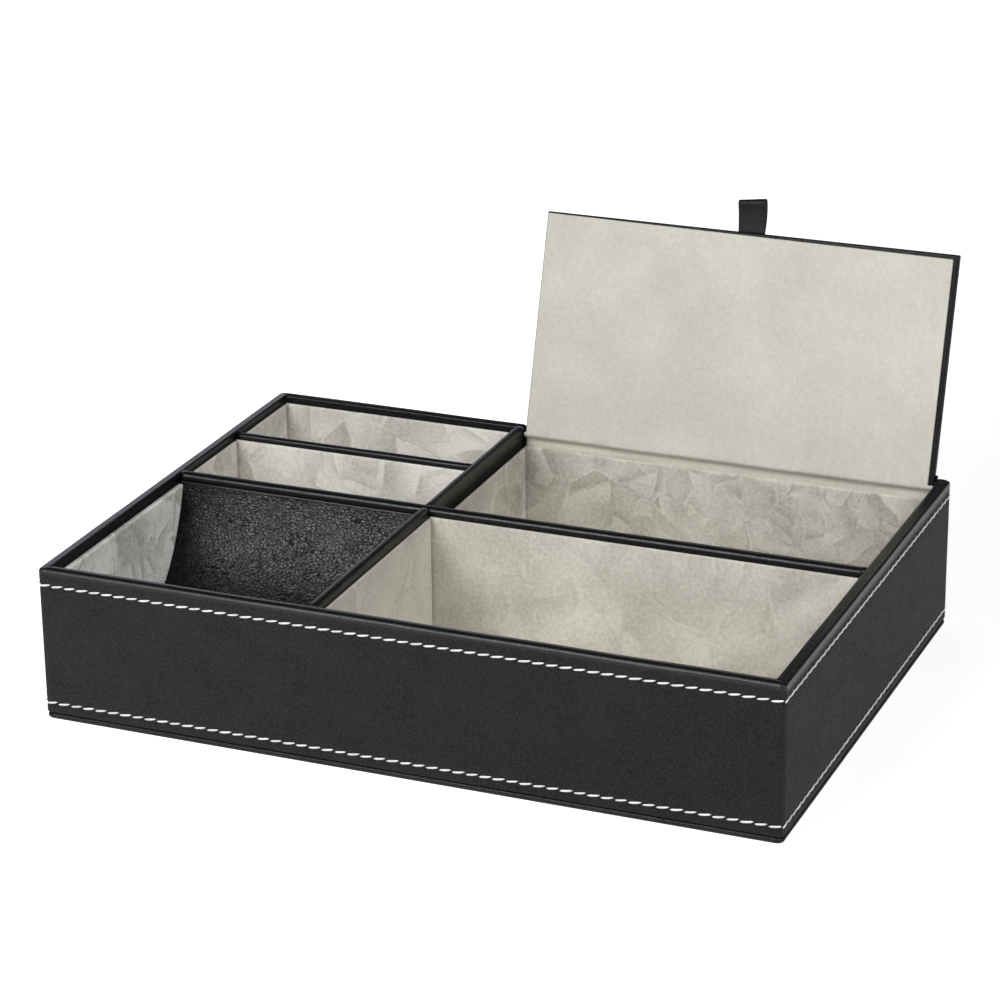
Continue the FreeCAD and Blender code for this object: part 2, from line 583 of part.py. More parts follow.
pull_tab = new_body("pull_tab")
outside = new_sketch(pull_tab, "pull_outside", "YZ_Plane")
layer = value("sizes.tab_ribbon")
fork = value("sizes.tab_neck")
line = chain(outside, [(-layer, fork), (-layer, 0), (layer, 0), (layer, fork)], LOOP_RADIUS)
outside.addConstraint(Sketcher.Constraint("Symmetric", line, 2, line + 3, 2, -2))
outside.addConstraint(Sketcher.Constraint("Symmetric", line + 1, 2, line + 2, 2, -2))
outside.addConstraint(Sketcher.Constraint("PointOnObject", line + 1, 2, -1))
outside.addConstraint(Sketcher.Constraint("Vertical", line + 1))
dimension(outside, "neck", "DistanceX", (line + 2, 1), (line + 2, 2), "2 * sizes.tab_ribbon")
dimension(outside, "shoulder", "DistanceY", (-1, 1), (line, 2), "sizes.tab_neck")
pad(pull_tab, outside, "sizes.tab_width", "pull_solid")
inside = new_sketch(pull_tab, "pull_inside", "YZ_Plane")
line = chain(inside, [(0, fork)], f"{LOOP_RADIUS} - sizes.tab_ribbon")
inside.addConstraint(Sketcher.Constraint("PointOnObject", line, 2, -2))
dimension(inside, "fork", "DistanceY", (-1, 1), (line, 2), "sizes.tab_neck")
pocket_through(pull_tab, inside, "pull_loop")
keep(pull_tab)
place_on_lid(pull_tab, "sizes.tab_centre_x - sizes.tab_width / 2",
             f"-({LID_LENGTH} + sizes.hinge_setback + sizes.lid_front_clearance / 2)",
             f"{LID_UNDER} + sizes.lid_card", "sizes.tab_lean")

doc.recompute()

# Check every object, then write one file for each sub-part
for item in doc.Objects:
    if "Invalid" in item.State or "Error" in item.State:
        raise RuntimeError(item.Name + " failed: " + str(item.State))
LEAST_VOLUME = 1
os.makedirs("parts", exist_ok=True)
for part in sub_parts:
    shape = part.Shape
    if shape.isNull() or not shape.isValid() or shape.Volume < LEAST_VOLUME:
        raise RuntimeError(part.Label + " has no sound shape")
    shape.exportStep("parts/%s.step" % part.Label)
    print("%-28s %2d solid %10.1f mm3" % (part.Label, len(shape.Solids), shape.Volume))
print(len(sub_parts), "sub-parts; the lid is", value(LID_WIDTH), "by", round(value(LID_LENGTH), 3),
      "and its hinge line is at y", value(HINGE_Y), "z", value(HINGE_Z))
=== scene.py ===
# %% [markdown]
# # A valet tray in black leather and grey suede
# The real tray is a set of boards. Thin black leather is glued over the walls and dividers, cards
# covered in suede cloth line the compartments, and one lid hinges on its own covering. This
# lesson dresses a measured model of those boards. Each piece takes its place from the box of the
# part that it covers, so nothing is fitted by eye, and everything is in metres.

# %% Load the measured model
import json
import math

import bpy
import numpy as np
from mathutils import Euler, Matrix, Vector


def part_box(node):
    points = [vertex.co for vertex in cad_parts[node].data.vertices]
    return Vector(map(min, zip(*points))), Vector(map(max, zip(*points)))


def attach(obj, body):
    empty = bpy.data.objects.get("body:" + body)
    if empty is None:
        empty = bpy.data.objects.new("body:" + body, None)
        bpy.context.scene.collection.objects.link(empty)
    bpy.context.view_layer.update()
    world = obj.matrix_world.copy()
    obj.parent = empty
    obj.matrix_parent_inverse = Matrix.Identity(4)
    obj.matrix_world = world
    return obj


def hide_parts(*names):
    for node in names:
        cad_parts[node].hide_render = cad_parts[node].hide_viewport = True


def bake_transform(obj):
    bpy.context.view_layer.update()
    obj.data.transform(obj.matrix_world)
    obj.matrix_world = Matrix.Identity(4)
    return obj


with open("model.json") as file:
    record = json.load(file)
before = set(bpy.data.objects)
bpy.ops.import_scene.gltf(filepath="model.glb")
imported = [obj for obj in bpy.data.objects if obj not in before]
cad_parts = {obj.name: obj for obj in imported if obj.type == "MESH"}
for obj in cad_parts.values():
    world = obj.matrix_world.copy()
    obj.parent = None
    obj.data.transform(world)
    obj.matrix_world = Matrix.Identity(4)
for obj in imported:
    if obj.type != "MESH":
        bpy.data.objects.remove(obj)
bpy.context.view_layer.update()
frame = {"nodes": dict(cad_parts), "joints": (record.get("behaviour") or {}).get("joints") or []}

MM = 0.001

# %% [markdown]
# ## Camera
# The photograph was taken with a long lens from the front right, a little above the tray. A lens
# of 126 mm on a 36 mm sensor gives the same gentle perspective. The place and the turn come from
# matching the tray's eight corners and long edges, so the render can be laid over the photograph.

# %% Set the camera
CAMERA_PLACE = (0.45615, -1.09578, 0.53438)
CAMERA_TURN_DEGREES = (68.533, 0.653, 22.456)
LENS_MM = 125.63
SENSOR_MM = 36.0

camera_lens = bpy.data.cameras.new("camera")
camera_lens.sensor_width = SENSOR_MM
camera_lens.lens = LENS_MM
camera = bpy.data.objects.new("camera", camera_lens)
camera.location = CAMERA_PLACE
camera.rotation_euler = Euler([math.radians(angle) for angle in CAMERA_TURN_DEGREES])
bpy.context.scene.collection.objects.link(camera)
bpy.context.scene.camera = camera
bpy.context.scene.view_settings.view_transform = "Standard"
print("camera is", round(Vector(CAMERA_PLACE).length, 3), "m from the tray")

# %% [markdown]
# ## Colours and nodes
# Colours are written as sRGB hex values, as a colour picker shows them, and turned to the linear
# values that light is computed in. One small function adds a node, sets it up and links it, so
# that each material below reads as a list of what its surface has.


# %% Helpers for every material
def linear(hex_colour):
    """sRGB hex to linear RGBA: each channel c gives ((c + 0.055) / 1.055) ^ 2.4, or c / 12.92 if dark."""
    channels = [int(hex_colour[i:i + 2], 16) / 255 for i in (1, 3, 5)]
    return [c / 12.92 if c <= 0.04045 else ((c + 0.055) / 1.055) ** 2.4 for c in channels] + [1.0]


def add(tree, kind, inputs=None, **settings):
    """Adds a shader node. An input, by name or number, is a constant, another node's output, or
    another node, which stands for its first output."""
    node = tree.nodes.new("ShaderNode" + kind)
    for name, setting in settings.items():
        setattr(node, name, setting)
    for socket, source in (inputs or {}).items():
        if isinstance(source, bpy.types.Node):
            source = source.outputs[0]
        if isinstance(source, bpy.types.NodeSocket):
            tree.links.new(source, node.inputs[socket])
        else:
            node.inputs[socket].default_value = source
    return node


def new_finish(name):
    """An empty material and its node tree."""
    finish = bpy.data.materials.new(name)
    finish.use_nodes = True
    finish.node_tree.nodes.clear()
    return finish, finish.node_tree


def close_finish(tree, inputs):
    """Ends a material with one Principled shader, whose sockets get these constants and outputs."""
    add(tree, "OutputMaterial", {"Surface": add(tree, "BsdfPrincipled", inputs)})


def weighted_sum(tree, *terms):
    """Each term's output times its weight, all added up."""
    total = 0.0
    for source, weight in terms:
        total = add(tree, "Math", {0: source, 1: weight, 2: total}, operation="MULTIPLY_ADD")
    return total


def per_metre(size_mm):
    """A pattern's scale: how many repeats of this size fit in a metre."""
    return 1.0 / (size_mm * MM)


print("mid grey #808080 in linear light:", round(linear("#808080")[0], 3))

# %% [markdown]
# ## Floor, world and lamps
# A product photographer lays the tray on white paper under large soft lamps. The paper here is a
# wide floor. Light Path lets the camera and reflections see it brighter than it lights the tray,
# so it turns white while the tray's soft shadow stays on it. It glows more on the left, where
# the photographer's lamps stand.

# %% Lay the paper
FLOOR_RADIUS = 14.0
GLOW_LEFT = 1.05
GLOW_RIGHT = 0.625
GLOW_FADES = {1: -0.30, 2: 0.20}
# Single fibres are too fine to see, so the paper shows clumps of them.
FIBRE_CLUMP_MM = 3.0


def paper_finish():
    """Matt white wood-pulp paper. Camera, glossy and transmission rays also see it glow, from the
    left's level to the right's across the tray."""
    finish, tree = new_finish("white_backdrop_paper")
    fibres = add(tree, "TexNoise", {"Scale": per_metre(FIBRE_CLUMP_MM), "Detail": 3.0})
    tone = add(tree, "Mix", {0: fibres, 6: linear("#eeeeee"), 7: linear("#f2f2f2")}, data_type="RGBA")
    rays = add(tree, "LightPath").outputs
    seen = add(tree, "Math", {0: rays["Is Camera Ray"], 1: rays["Is Glossy Ray"]}, operation="MAXIMUM")
    seen = add(tree, "Math", {0: seen, 1: rays["Is Transmission Ray"]}, operation="MAXIMUM")
    across = add(tree, "SeparateXYZ", {"Vector": add(tree, "TexCoord").outputs["Object"]})
    level = add(tree, "MapRange", {0: across, 3: GLOW_LEFT, 4: GLOW_RIGHT, **GLOW_FADES},
                interpolation_type="SMOOTHSTEP")
    glow = add(tree, "Math", {0: seen, 1: level}, operation="MULTIPLY")
    close_finish(tree, {"Base Color": tone.outputs[2], "Roughness": 0.9,
                        "Emission Color": linear("#ffffff"), "Emission Strength": glow})
    return finish


bpy.ops.mesh.primitive_circle_add(vertices=64, radius=FLOOR_RADIUS, fill_type="NGON")
floor = bpy.context.object
floor.name = "floor"
floor.data.materials.append(paper_finish())
print("paper across:", 2 * FLOOR_RADIUS, "m")

# %% [markdown]
# The room behind is dark but for the paper that curves up at its edge, a pale band low in the
# world. Black leather shows its shape only by what it reflects: the band draws the bright lines
# along the left rims. It rises on the left, where the paper is hung higher, and sinks on the
# right. The two lamps are large, so that the shadows stay soft.

# %% Darken the room and hang the lamps
BAND_TOP = math.sin(math.radians(6.0))
DARK_FROM = math.sin(math.radians(20.0))
BAND_RISES = {1: -0.47, 2: -0.35, 3: -0.25, 4: 0.0}
BAND_SINKS = {1: 0.0, 2: 0.4, 3: 0.0, 4: 0.25}
TRAY_MIDDLE = (0.0, 0.0, 0.05)


def studio_world():
    """Luminance by height: a pale band near the horizon that fades to a dark room above. Height is
    the direction's z, less where the band rises on the left and more where it sinks on the right."""
    world = bpy.data.worlds.new("dark_studio")
    world.use_nodes = True
    tree = world.node_tree
    parts = add(tree, "SeparateXYZ", {"Vector": add(tree, "TexCoord").outputs["Generated"]}).outputs
    on_left = add(tree, "MapRange", {0: parts["X"], **BAND_RISES})
    on_right = add(tree, "MapRange", {0: parts["X"], **BAND_SINKS})
    height = weighted_sum(tree, (parts["Z"], 1.0), (on_left, 1.0), (on_right, 1.0))
    fade = add(tree, "MapRange", {0: height, 1: BAND_TOP, 2: DARK_FROM}, interpolation_type="SMOOTHSTEP")
    tone = add(tree, "Mix", {0: fade, 6: linear("#e2e9f3"), 7: linear("#26272a")}, data_type="RGBA")
    tree.links.new(tone.outputs[2], tree.nodes["Background"].inputs["Color"])
    return world


def softbox(name, place, width, height, radiance):
    """A rectangular lamp aimed at the tray; a flat lamp's power is radiance times pi times its area."""
    data = bpy.data.lights.new(name, "AREA")
    data.shape = "RECTANGLE"
    data.size = width
    data.size_y = height
    data.energy = radiance * math.pi * width * height
    lamp = bpy.data.objects.new(name, data)
    lamp.location = place
    lamp.rotation_euler = (Vector(TRAY_MIDDLE) - Vector(place)).to_track_quat("-Z", "Y").to_euler()
    bpy.context.scene.collection.objects.link(lamp)


bpy.context.scene.world = studio_world()
softbox("key_softbox", (-0.54, -1.40, 0.98), 0.70, 0.80, 9.3)
softbox("fill_softbox", (1.15, -0.75, 1.15), 0.9, 0.9, 6.5)
print("lamps:", [light.name for light in bpy.data.lights])

# %% [markdown]
# ## Black leather
# The walls are in coated split leather: hide with a thin black plastic skin, pressed with a fine
# grain. The skin gives a soft, low shine. The press leaves small pillows, drawn out along the
# wall, with dull valleys between them, whose colour is painted darker as shade. Pillows are the
# insides of warped Voronoi cells and valleys are their borders. A slow noise deepens and softens
# the grain from place to place. The pores swallow light that skims the flat walls, so their shine
# is held back where it is seen aslant. Over the rim the leather is pulled tight, which closes the
# pores, so it shines more there.


# %% Mix the black leathers
WAVE_MM = 16.0
PORE_SHARE = 0.4
WARP_SHARE = 2.0
PILLOW_EDGE = 0.30
PEBBLE_EDGE = 0.9
FLAT_WHEN_TAUT = 0.35
TAUT_SHINE = 0.18
TAUT_POLISH = -0.08
CLOSED_BY_SLANT = 0.12


def leather_finish(name, colour, roughness, shine, cell_mm, depth_mm, stretch=(1.0, 1.0, 1.0),
                   pebbled=False):
    """Coated leather: cells of the given size and depth, drawn out by stretch, glossier on top, and
    with valleys painted darker as shade. The mesh may say where it is taut, 1 at a rim. Pebbled
    leather has its height, 0 in a valley, from the mesh instead, and its shine scaled by the mesh's
    shade_and_sheen: painted shade where that is low, a painted highlight where it is high."""
    finish, tree = new_finish(name)
    place = add(tree, "TexCoord").outputs["Object"]
    drawn = add(tree, "Mapping", {"Vector": place, "Scale": stretch})
    waves = add(tree, "TexNoise", {"Vector": place, "Scale": per_metre(WAVE_MM), "Detail": 3.0})
    pores = add(tree, "TexNoise", {"Vector": drawn, "Scale": per_metre(cell_mm * PORE_SHARE), "Detail": 3.0})
    if pebbled:
        pebble = add(tree, "Attribute", attribute_name="pebble").outputs["Fac"]
        # How much shine the scoop keeps: low as painted shade at its left end and floor, high as a painted
        # highlight near its top.
        shade_and_sheen = add(tree, "Attribute", attribute_name="shade_and_sheen").outputs["Fac"]
        pillow = add(tree, "MapRange", {0: pebble, 1: 0.0, 2: PEBBLE_EDGE})
        wave_height, depth, valley_shine = 1.0, 1.0, 0.05
    else:
        warp = add(tree, "TexNoise", {"Vector": drawn, "Scale": per_metre(cell_mm * 3), "Detail": 2.0})
        warp = add(tree, "VectorMath", {0: warp.outputs["Color"], 1: (WARP_SHARE * cell_mm * MM,) * 3},
                   operation="MULTIPLY")
        warped = add(tree, "VectorMath", {0: drawn, 1: warp}, operation="ADD")
        cells = add(tree, "TexVoronoi", {"Vector": warped, "Scale": per_metre(cell_mm)},
                    feature="DISTANCE_TO_EDGE")
        pillow = add(tree, "MapRange", {0: cells, 1: 0.0, 2: PILLOW_EDGE}, interpolation_type="SMOOTHSTEP")
        wave_height, depth, valley_shine = 3.0, 0.6, 0.15
    taut = add(tree, "Attribute", attribute_name="taut").outputs["Fac"]
    height = weighted_sum(tree, (pillow, 1.0), (pores, 0.8), (waves, wave_height))
    flattened = add(tree, "MapRange", {0: taut, 3: 1.0, 4: FLAT_WHEN_TAUT})
    height = add(tree, "Math", {0: height, 1: flattened}, operation="MULTIPLY")
    bump = add(tree, "Bump", {"Height": height, "Strength": 1.0, "Distance": depth_mm * MM})
    strength = add(tree, "MapRange", {0: waves, 1: 0.35, 2: 0.65, 3: 0.75 * depth, 4: depth})
    valley = add(tree, "Math", {0: 1.0, 1: pillow}, operation="SUBTRACT")
    valley = add(tree, "Math", {0: valley, 1: strength}, operation="MULTIPLY")
    # Painted shade: the valleys' colour is mixed towards near black. Their lower shine is the leather's own.
    tone = add(tree, "Mix", {0: valley, 6: linear(colour), 7: linear("#020202")}, data_type="RGBA")
    gloss = add(tree, "MapRange", {0: valley, 3: shine, 4: shine * valley_shine})
    if pebbled:
        gloss = add(tree, "Math", {0: gloss, 1: shade_and_sheen}, operation="MULTIPLY")
    facing = add(tree, "LayerWeight", {"Blend": 0.5}).outputs["Facing"]
    open_pores = add(tree, "MapRange", {0: facing, 1: 0.25, 2: 0.65, 3: 1.0, 4: CLOSED_BY_SLANT},
                     interpolation_type="SMOOTHSTEP")
    open_pores = add(tree, "Math", {0: open_pores, 1: taut}, operation="MAXIMUM")
    gloss = weighted_sum(tree, (taut, TAUT_SHINE), (gloss, 1.0))
    gloss = add(tree, "Math", {0: gloss, 1: open_pores}, operation="MULTIPLY")
    rough = weighted_sum(tree, (valley, 0.15), (pores, 0.08), (taut, TAUT_POLISH))
    rough = add(tree, "Math", {0: rough, 1: roughness}, operation="ADD")
    close_finish(tree, {"Base Color": tone.outputs[2], "Specular IOR Level": gloss, "Roughness": rough,
                        "Normal": bump, "IOR": 1.5})
    return finish


wall_leather = leather_finish("coated_split_leather_fine_grain", "#151516", 0.34, 0.28, 0.55, 0.012,
                              (0.32, 0.32, 1.5))
cap_leather = leather_finish("coated_split_leather_skived", "#101011", 0.33, 0.34, 0.7, 0.006)
scoop_grain = leather_finish("coated_leather_pebbled_grain", "#0f0f10", 0.31, 1.0, 0.8, 0.018, pebbled=True)
print("black #151516 reflects", round(linear("#151516")[0] * 100, 1), "% of the light")

# %% [markdown]
# ## Suede cloth
# The linings are velour suede: a knitted cloth whose short fibres stand up like velvet. Cloth that
# has been crushed dries in folds. On each fold the colour runs slowly from pale to dark across the
# fold and jumps back at the crease: partly the pile's own lean, partly painted shade of the fold.
# Each crease is painted darker still, as painted shade. Such folds are contour lines: the level is
# a noise plus a slope of its own in every Voronoi cell, and the shade is the fraction that is left
# when the level is counted in whole folds. The cells bend the lines, which then run side by side
# like a fan. A slow noise lets most creases fade out on the way. Real pile is a tenth of a
# millimetre wide, too fine to see from here, so the nap is drawn coarser.


# %% Mix the suedes
NAP_MM = 1.5
CLOUD_MM = 28.0
FADING_MM = 17.0
PALEST = 0.70
DARKEST = 1.55


def facet_lean(tree, place, size_mm):
    """From each Voronoi cell's middle, the distance along the cell's own random direction."""
    cells = add(tree, "TexVoronoi", {"Vector": place, "Scale": per_metre(size_mm), "Smoothness": 0.12},
                feature="SMOOTH_F1")
    away = add(tree, "VectorMath", {0: place, 1: cells.outputs["Position"]}, operation="SUBTRACT")
    slope = add(tree, "VectorMath", {0: cells.outputs["Color"], 1: (0.5, 0.5, 0.5)}, operation="SUBTRACT")
    lean = add(tree, "VectorMath", {0: away, 1: slope}, operation="DOT_PRODUCT").outputs["Value"]
    return add(tree, "Math", {0: lean, 1: per_metre(size_mm)}, operation="MULTIPLY")


def folds(tree, place, size_mm, count, straight):
    """Fraction of count * (noise + straight * lean): it climbs across a fold and drops at its crease."""
    hill = add(tree, "TexNoise", {"Vector": place, "Scale": per_metre(size_mm * 1.5), "Detail": 0.5})
    level = weighted_sum(tree, (hill, count), (facet_lean(tree, place, size_mm), count * straight))
    return add(tree, "Math", {0: level}, operation="FRACT")


def suede_finish(name, pale, dark, fold_mm, crush, seed):
    """Velour suede with folds of the given size, and crush from 0, smooth, to 1, badly creased."""
    finish, tree = new_finish(name)
    place = add(tree, "TexCoord").outputs["Object"]
    place = add(tree, "Mapping", {"Vector": place, "Location": (seed * 0.37, seed * 0.21, seed * 0.53)})
    push = add(tree, "TexNoise", {"Vector": place, "Scale": per_metre(9.0), "Detail": 3.0}).outputs["Color"]
    push = add(tree, "VectorMath", {0: push, 1: (2.5 * MM,) * 3}, operation="MULTIPLY")
    pushed = add(tree, "VectorMath", {0: place, 1: push}, operation="ADD")
    broad = folds(tree, pushed, fold_mm, 3.2, 0.9)
    small = folds(tree, pushed, fold_mm * 0.5, 3.6, 1.1)
    clouds = add(tree, "TexNoise", {"Vector": place, "Scale": per_metre(CLOUD_MM), "Detail": 5.0})
    where = add(tree, "TexNoise", {"Vector": place, "Scale": per_metre(FADING_MM), "Detail": 2.0})
    nap = add(tree, "TexNoise", {"Vector": place, "Scale": per_metre(NAP_MM), "Detail": 4.0,
                                 "Roughness": 0.7})
    streaks = add(tree, "Math", {0: weighted_sum(tree, (small, 25.0), (clouds, 20.0))}, operation="SINE")
    some = {1: 0.44, 2: 0.58, 3: 0.15, 4: 1.0}
    others = {1: 0.42, 2: 0.56, 3: 1.0, 4: 0.0}
    shade = weighted_sum(tree, (clouds, 1.0), (nap, 1.0))
    for fold, limits, weight in ((broad, some, 0.5 * crush), (small, others, 0.36 * crush)):
        mask = add(tree, "MapRange", {0: where, **limits}, interpolation_type="SMOOTHSTEP")
        # Painted shade: each crease is darkened just past its jump, and the fold's ramp is partly painted
        # shade.
        crease = add(tree, "MapRange", {0: fold, 1: 0.0, 2: 0.06, 3: 0.55, 4: 0.0},
                     interpolation_type="SMOOTHSTEP")
        lean = weighted_sum(tree, (fold, 1.0), (crease, 1.0), (streaks, 0.08))
        lean = add(tree, "Math", {0: lean, 1: 0.5}, operation="SUBTRACT")
        lean = add(tree, "Math", {0: lean, 1: mask}, operation="MULTIPLY")
        shade = weighted_sum(tree, (lean, weight), (shade, 1.0))
    shade = add(tree, "MapRange", {0: shade, 1: PALEST, 2: DARKEST})
    tone = add(tree, "Mix", {0: shade, 6: linear(pale), 7: linear(dark)}, data_type="RGBA")
    height = weighted_sum(tree, (nap, 0.15), (broad, -0.25 * crush), (small, -0.15 * crush))
    bump = add(tree, "Bump", {"Height": height, "Strength": 0.6, "Distance": 0.7 * MM})
    close_finish(tree, {"Base Color": tone.outputs[2], "Roughness": 0.95, "Specular IOR Level": 0.1,
                        "Sheen Weight": 0.08, "Sheen Roughness": 0.5, "Normal": bump})
    return finish


lid_suede = suede_finish("velour_suede_smooth", "#dad7cb", "#bdbaad", 34.0, 0.2, 1)
bay_suede = suede_finish("velour_suede_creased", "#e4e0d5", "#a5a195", 44.0, 0.45, 2)
crushed_suede = suede_finish("velour_suede_crushed", "#efece4", "#b0aca2", 34.0, 1.1, 3)
# A darker copy of the suede for the deep lidded bay: its dark tone is painted shade.
lidded_suede = suede_finish("velour_suede_shaded", "#dedacf", "#938f83", 30.0, 0.9, 5)
rumpled_suede = suede_finish("velour_suede_rumpled", "#fbfaf6", "#b0ada5", 40.0, 1.5, 7)
print("suedes:", [m.name for m in bpy.data.materials if "suede" in m.name])

# %% [markdown]
# ## Thread, ribbon and board
# The thread is bonded white polyester, thick enough to show as clean dashes. The pull is a satin
# ribbon: long floats of filament yarn along it give a silky shine, between two firmer edges. The
# boards and cards are grey pressed board. They hardly show, but a cut edge would.

# %% Mix thread, ribbon and board
# A real twist repeats about every half millimetre and a fibre is finer still, too fine to see from
# here, so both are drawn coarser.
TWIST_MM = 1.1
FIBRE_MM = 1.5
RIBS = 12.0
EDGE_FROM = 0.38
EDGE_TO = 0.41


def thread_finish():
    """White bonded polyester thread: a slight twist seen as slanting stripes."""
    finish, tree = new_finish("bonded_polyester_thread")
    place = add(tree, "TexCoord").outputs["Object"]
    twist = add(tree, "TexWave", {"Vector": place, "Scale": per_metre(TWIST_MM) / 20, "Distortion": 0.6},
                bands_direction="DIAGONAL")
    tone = add(tree, "Mix", {0: twist, 6: linear("#e9e6e0"), 7: linear("#fbfaf6")}, data_type="RGBA")
    bump = add(tree, "Bump", {"Height": twist, "Strength": 0.5, "Distance": 0.08 * MM})
    close_finish(tree, {"Base Color": tone.outputs[2], "Roughness": 0.55, "Sheen Weight": 0.1,
                        "Normal": bump})
    return finish


def ribbon_finish():
    """Black satin: fine ribs across the ribbon and a broader one just inside each edge."""
    finish, tree = new_finish("woven_satin_ribbon")
    strip = add(tree, "TexCoord").outputs["UV"]
    ribs = add(tree, "TexWave", {"Vector": strip, "Scale": RIBS, "Distortion": 0.3},
               bands_direction="Y")
    from_middle = add(tree, "Math", {0: add(tree, "SeparateXYZ", {"Vector": strip}), 1: 0.5},
                      operation="SUBTRACT")
    from_middle = add(tree, "Math", {0: from_middle}, operation="ABSOLUTE")
    edge = add(tree, "MapRange", {0: from_middle, 1: EDGE_FROM, 2: EDGE_TO}, interpolation_type="SMOOTHSTEP")
    tone = add(tree, "Mix", {0: edge, 6: linear("#110f12"), 7: linear("#0a0a0b")}, data_type="RGBA")
    height = weighted_sum(tree, (ribs, 0.5), (edge, 1.0))
    bump = add(tree, "Bump", {"Height": height, "Strength": 0.6, "Distance": 0.06 * MM})
    close_finish(tree, {"Base Color": tone.outputs[2], "Roughness": 0.42, "Specular IOR Level": 0.28,
                        "Normal": bump})
    return finish


def board_finish():
    """Grey pressed board: short fibres in two browns, rough and matt."""
    finish, tree = new_finish("pressed_grey_board")
    place = add(tree, "TexCoord").outputs["Object"]
    fibres = add(tree, "TexNoise", {"Vector": place, "Scale": per_metre(FIBRE_MM), "Detail": 5.0})
    tone = add(tree, "Mix", {0: fibres, 6: linear("#7d6f5c"), 7: linear("#9a8c77")}, data_type="RGBA")
    bump = add(tree, "Bump", {"Height": fibres, "Strength": 0.5, "Distance": 0.1 * MM})
    close_finish(tree, {"Base Color": tone.outputs[2], "Roughness": 0.9, "Normal": bump})
    return finish


white_thread = thread_finish()
satin = ribbon_finish()
board = board_finish()
print("materials:", len(bpy.data.materials))

# %% [markdown]
# ## Grids of points
# Every new piece is a grid: rows and columns of points worked out at once with numpy, and a quad
# between each four neighbours. A tube-like piece joins its last column to its first, and its ends
# are closed by a strip of quads between the two halves of the end ring. Uneven heights come from
# one noise function, smooth hills on a square lattice, so that the same tray comes out each time.

# %% Helpers that make meshes
LATTICE = 64
HILLS = np.random.default_rng(11).random((LATTICE, LATTICE)) * 2 - 1


def hills(across, along, size_mm, shift=0.0):
    """Smooth noise from -1 to 1: lattice heights joined by the curve 3t^2 - 2t^3 both ways."""
    u = np.asarray(across) / (size_mm * MM) + shift * 7.3
    v = np.asarray(along) / (size_mm * MM) + shift * 3.9
    i, j = np.floor(u).astype(int), np.floor(v).astype(int)
    fu, fv = u - i, v - j
    fu, fv = fu * fu * (3 - 2 * fu), fv * fv * (3 - 2 * fv)
    corner = [[HILLS[(i + a) % LATTICE, (j + b) % LATTICE] for b in (0, 1)] for a in (0, 1)]
    low = corner[0][0] * (1 - fu) + corner[1][0] * fu
    high = corner[0][1] * (1 - fu) + corner[1][1] * fu
    return low * (1 - fv) + high * fv


def quads(rows, columns, ring_rows=False, ring_columns=False):
    """The four corner numbers of each cell of a grid, joined end to end where a ring is asked for."""
    i = np.arange(rows if ring_rows else rows - 1)[:, None]
    j = np.arange(columns if ring_columns else columns - 1)[None, :]
    down, right = (i + 1) % rows, (j + 1) % columns
    cells = [i * columns + j, i * columns + right, down * columns + right, down * columns + j]
    return np.stack(np.broadcast_arrays(*cells), axis=-1).reshape(-1, 4)


def end_strip(ring_start, columns):
    """Closes an end ring: point i of one half is joined to point columns - 1 - i of the other."""
    i = np.arange(columns // 2 - 1)
    pairs = [i, i + 1, columns - 2 - i, columns - 1 - i]
    return ring_start + np.stack(pairs, axis=-1)


def new_mesh(name, points, faces):
    """A smooth-shaded mesh of quads from whole arrays of points and corner numbers."""
    points = np.asarray(points, np.float32).reshape(-1, 3)
    faces = np.asarray(faces, np.int32)
    mesh = bpy.data.meshes.new(name)
    mesh.vertices.add(len(points))
    mesh.vertices.foreach_set("co", points.ravel())
    mesh.loops.add(faces.size)
    mesh.loops.foreach_set("vertex_index", faces.ravel())
    mesh.polygons.add(len(faces))
    mesh.polygons.foreach_set("loop_start", np.arange(0, faces.size, 4, dtype=np.int32))
    mesh.update(calc_edges=True)
    mesh.polygons.foreach_set("use_smooth", np.ones(len(faces), bool))
    return mesh


def signed_volume(points, faces):
    """Six times the volume that the quads close in, positive if they face outwards."""
    a, b, c, d = (np.asarray(points).reshape(-1, 3)[faces[:, k]] for k in range(4))
    return np.sum(np.cross(c - a, d - b) * (a + b + c + d)) / 4


def new_piece(name, points, faces, finish, body, replaced=(), sheet_mm=0.0, outward=None):
    """Makes a piece and hangs it on its body. A sheet gets its thickness by Solidify, on the side
    away from outward, the way that its first face looks; a closed piece faces outwards."""
    points = np.asarray(points, float).reshape(-1, 3)
    if outward is not None:
        a, b, c, d = points[faces[0]]
        if np.dot(np.cross(c - a, d - b), outward) < 0:
            faces = faces[:, ::-1]
    elif signed_volume(points, faces) < 0:
        faces = faces[:, ::-1]
    piece = bpy.data.objects.new(name, new_mesh(name, points, faces))
    bpy.context.scene.collection.objects.link(piece)
    piece.data.materials.append(finish)
    if sheet_mm:
        solid = piece.modifiers.new("thickness", "SOLIDIFY")
        solid.thickness = sheet_mm * MM
        solid.offset = -1
    if body:
        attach(piece, body)
    if replaced:
        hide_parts(*replaced)
    return piece


def span(node):
    """Lowest and highest corner of a part of the model, as two arrays."""
    low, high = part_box(node)
    return np.array(low), np.array(high)


def ease(t):
    """Smooth step from 0 to 1: 3t^2 - 2t^3."""
    t = np.clip(t, 0, 1)
    return t * t * (3 - 2 * t)


print("noise runs from", round(float(HILLS.min()), 2), "to", round(float(HILLS.max()), 2))

# %% [markdown]
# ## Places read from the model
# The walls, dividers and cards give all the places that the covers need. The lid is measured
# closed: its points are turned about the hinge line by the joint's whole range, and every lid
# piece is made lying flat and turned back, which is how a maker would build it on the bench.

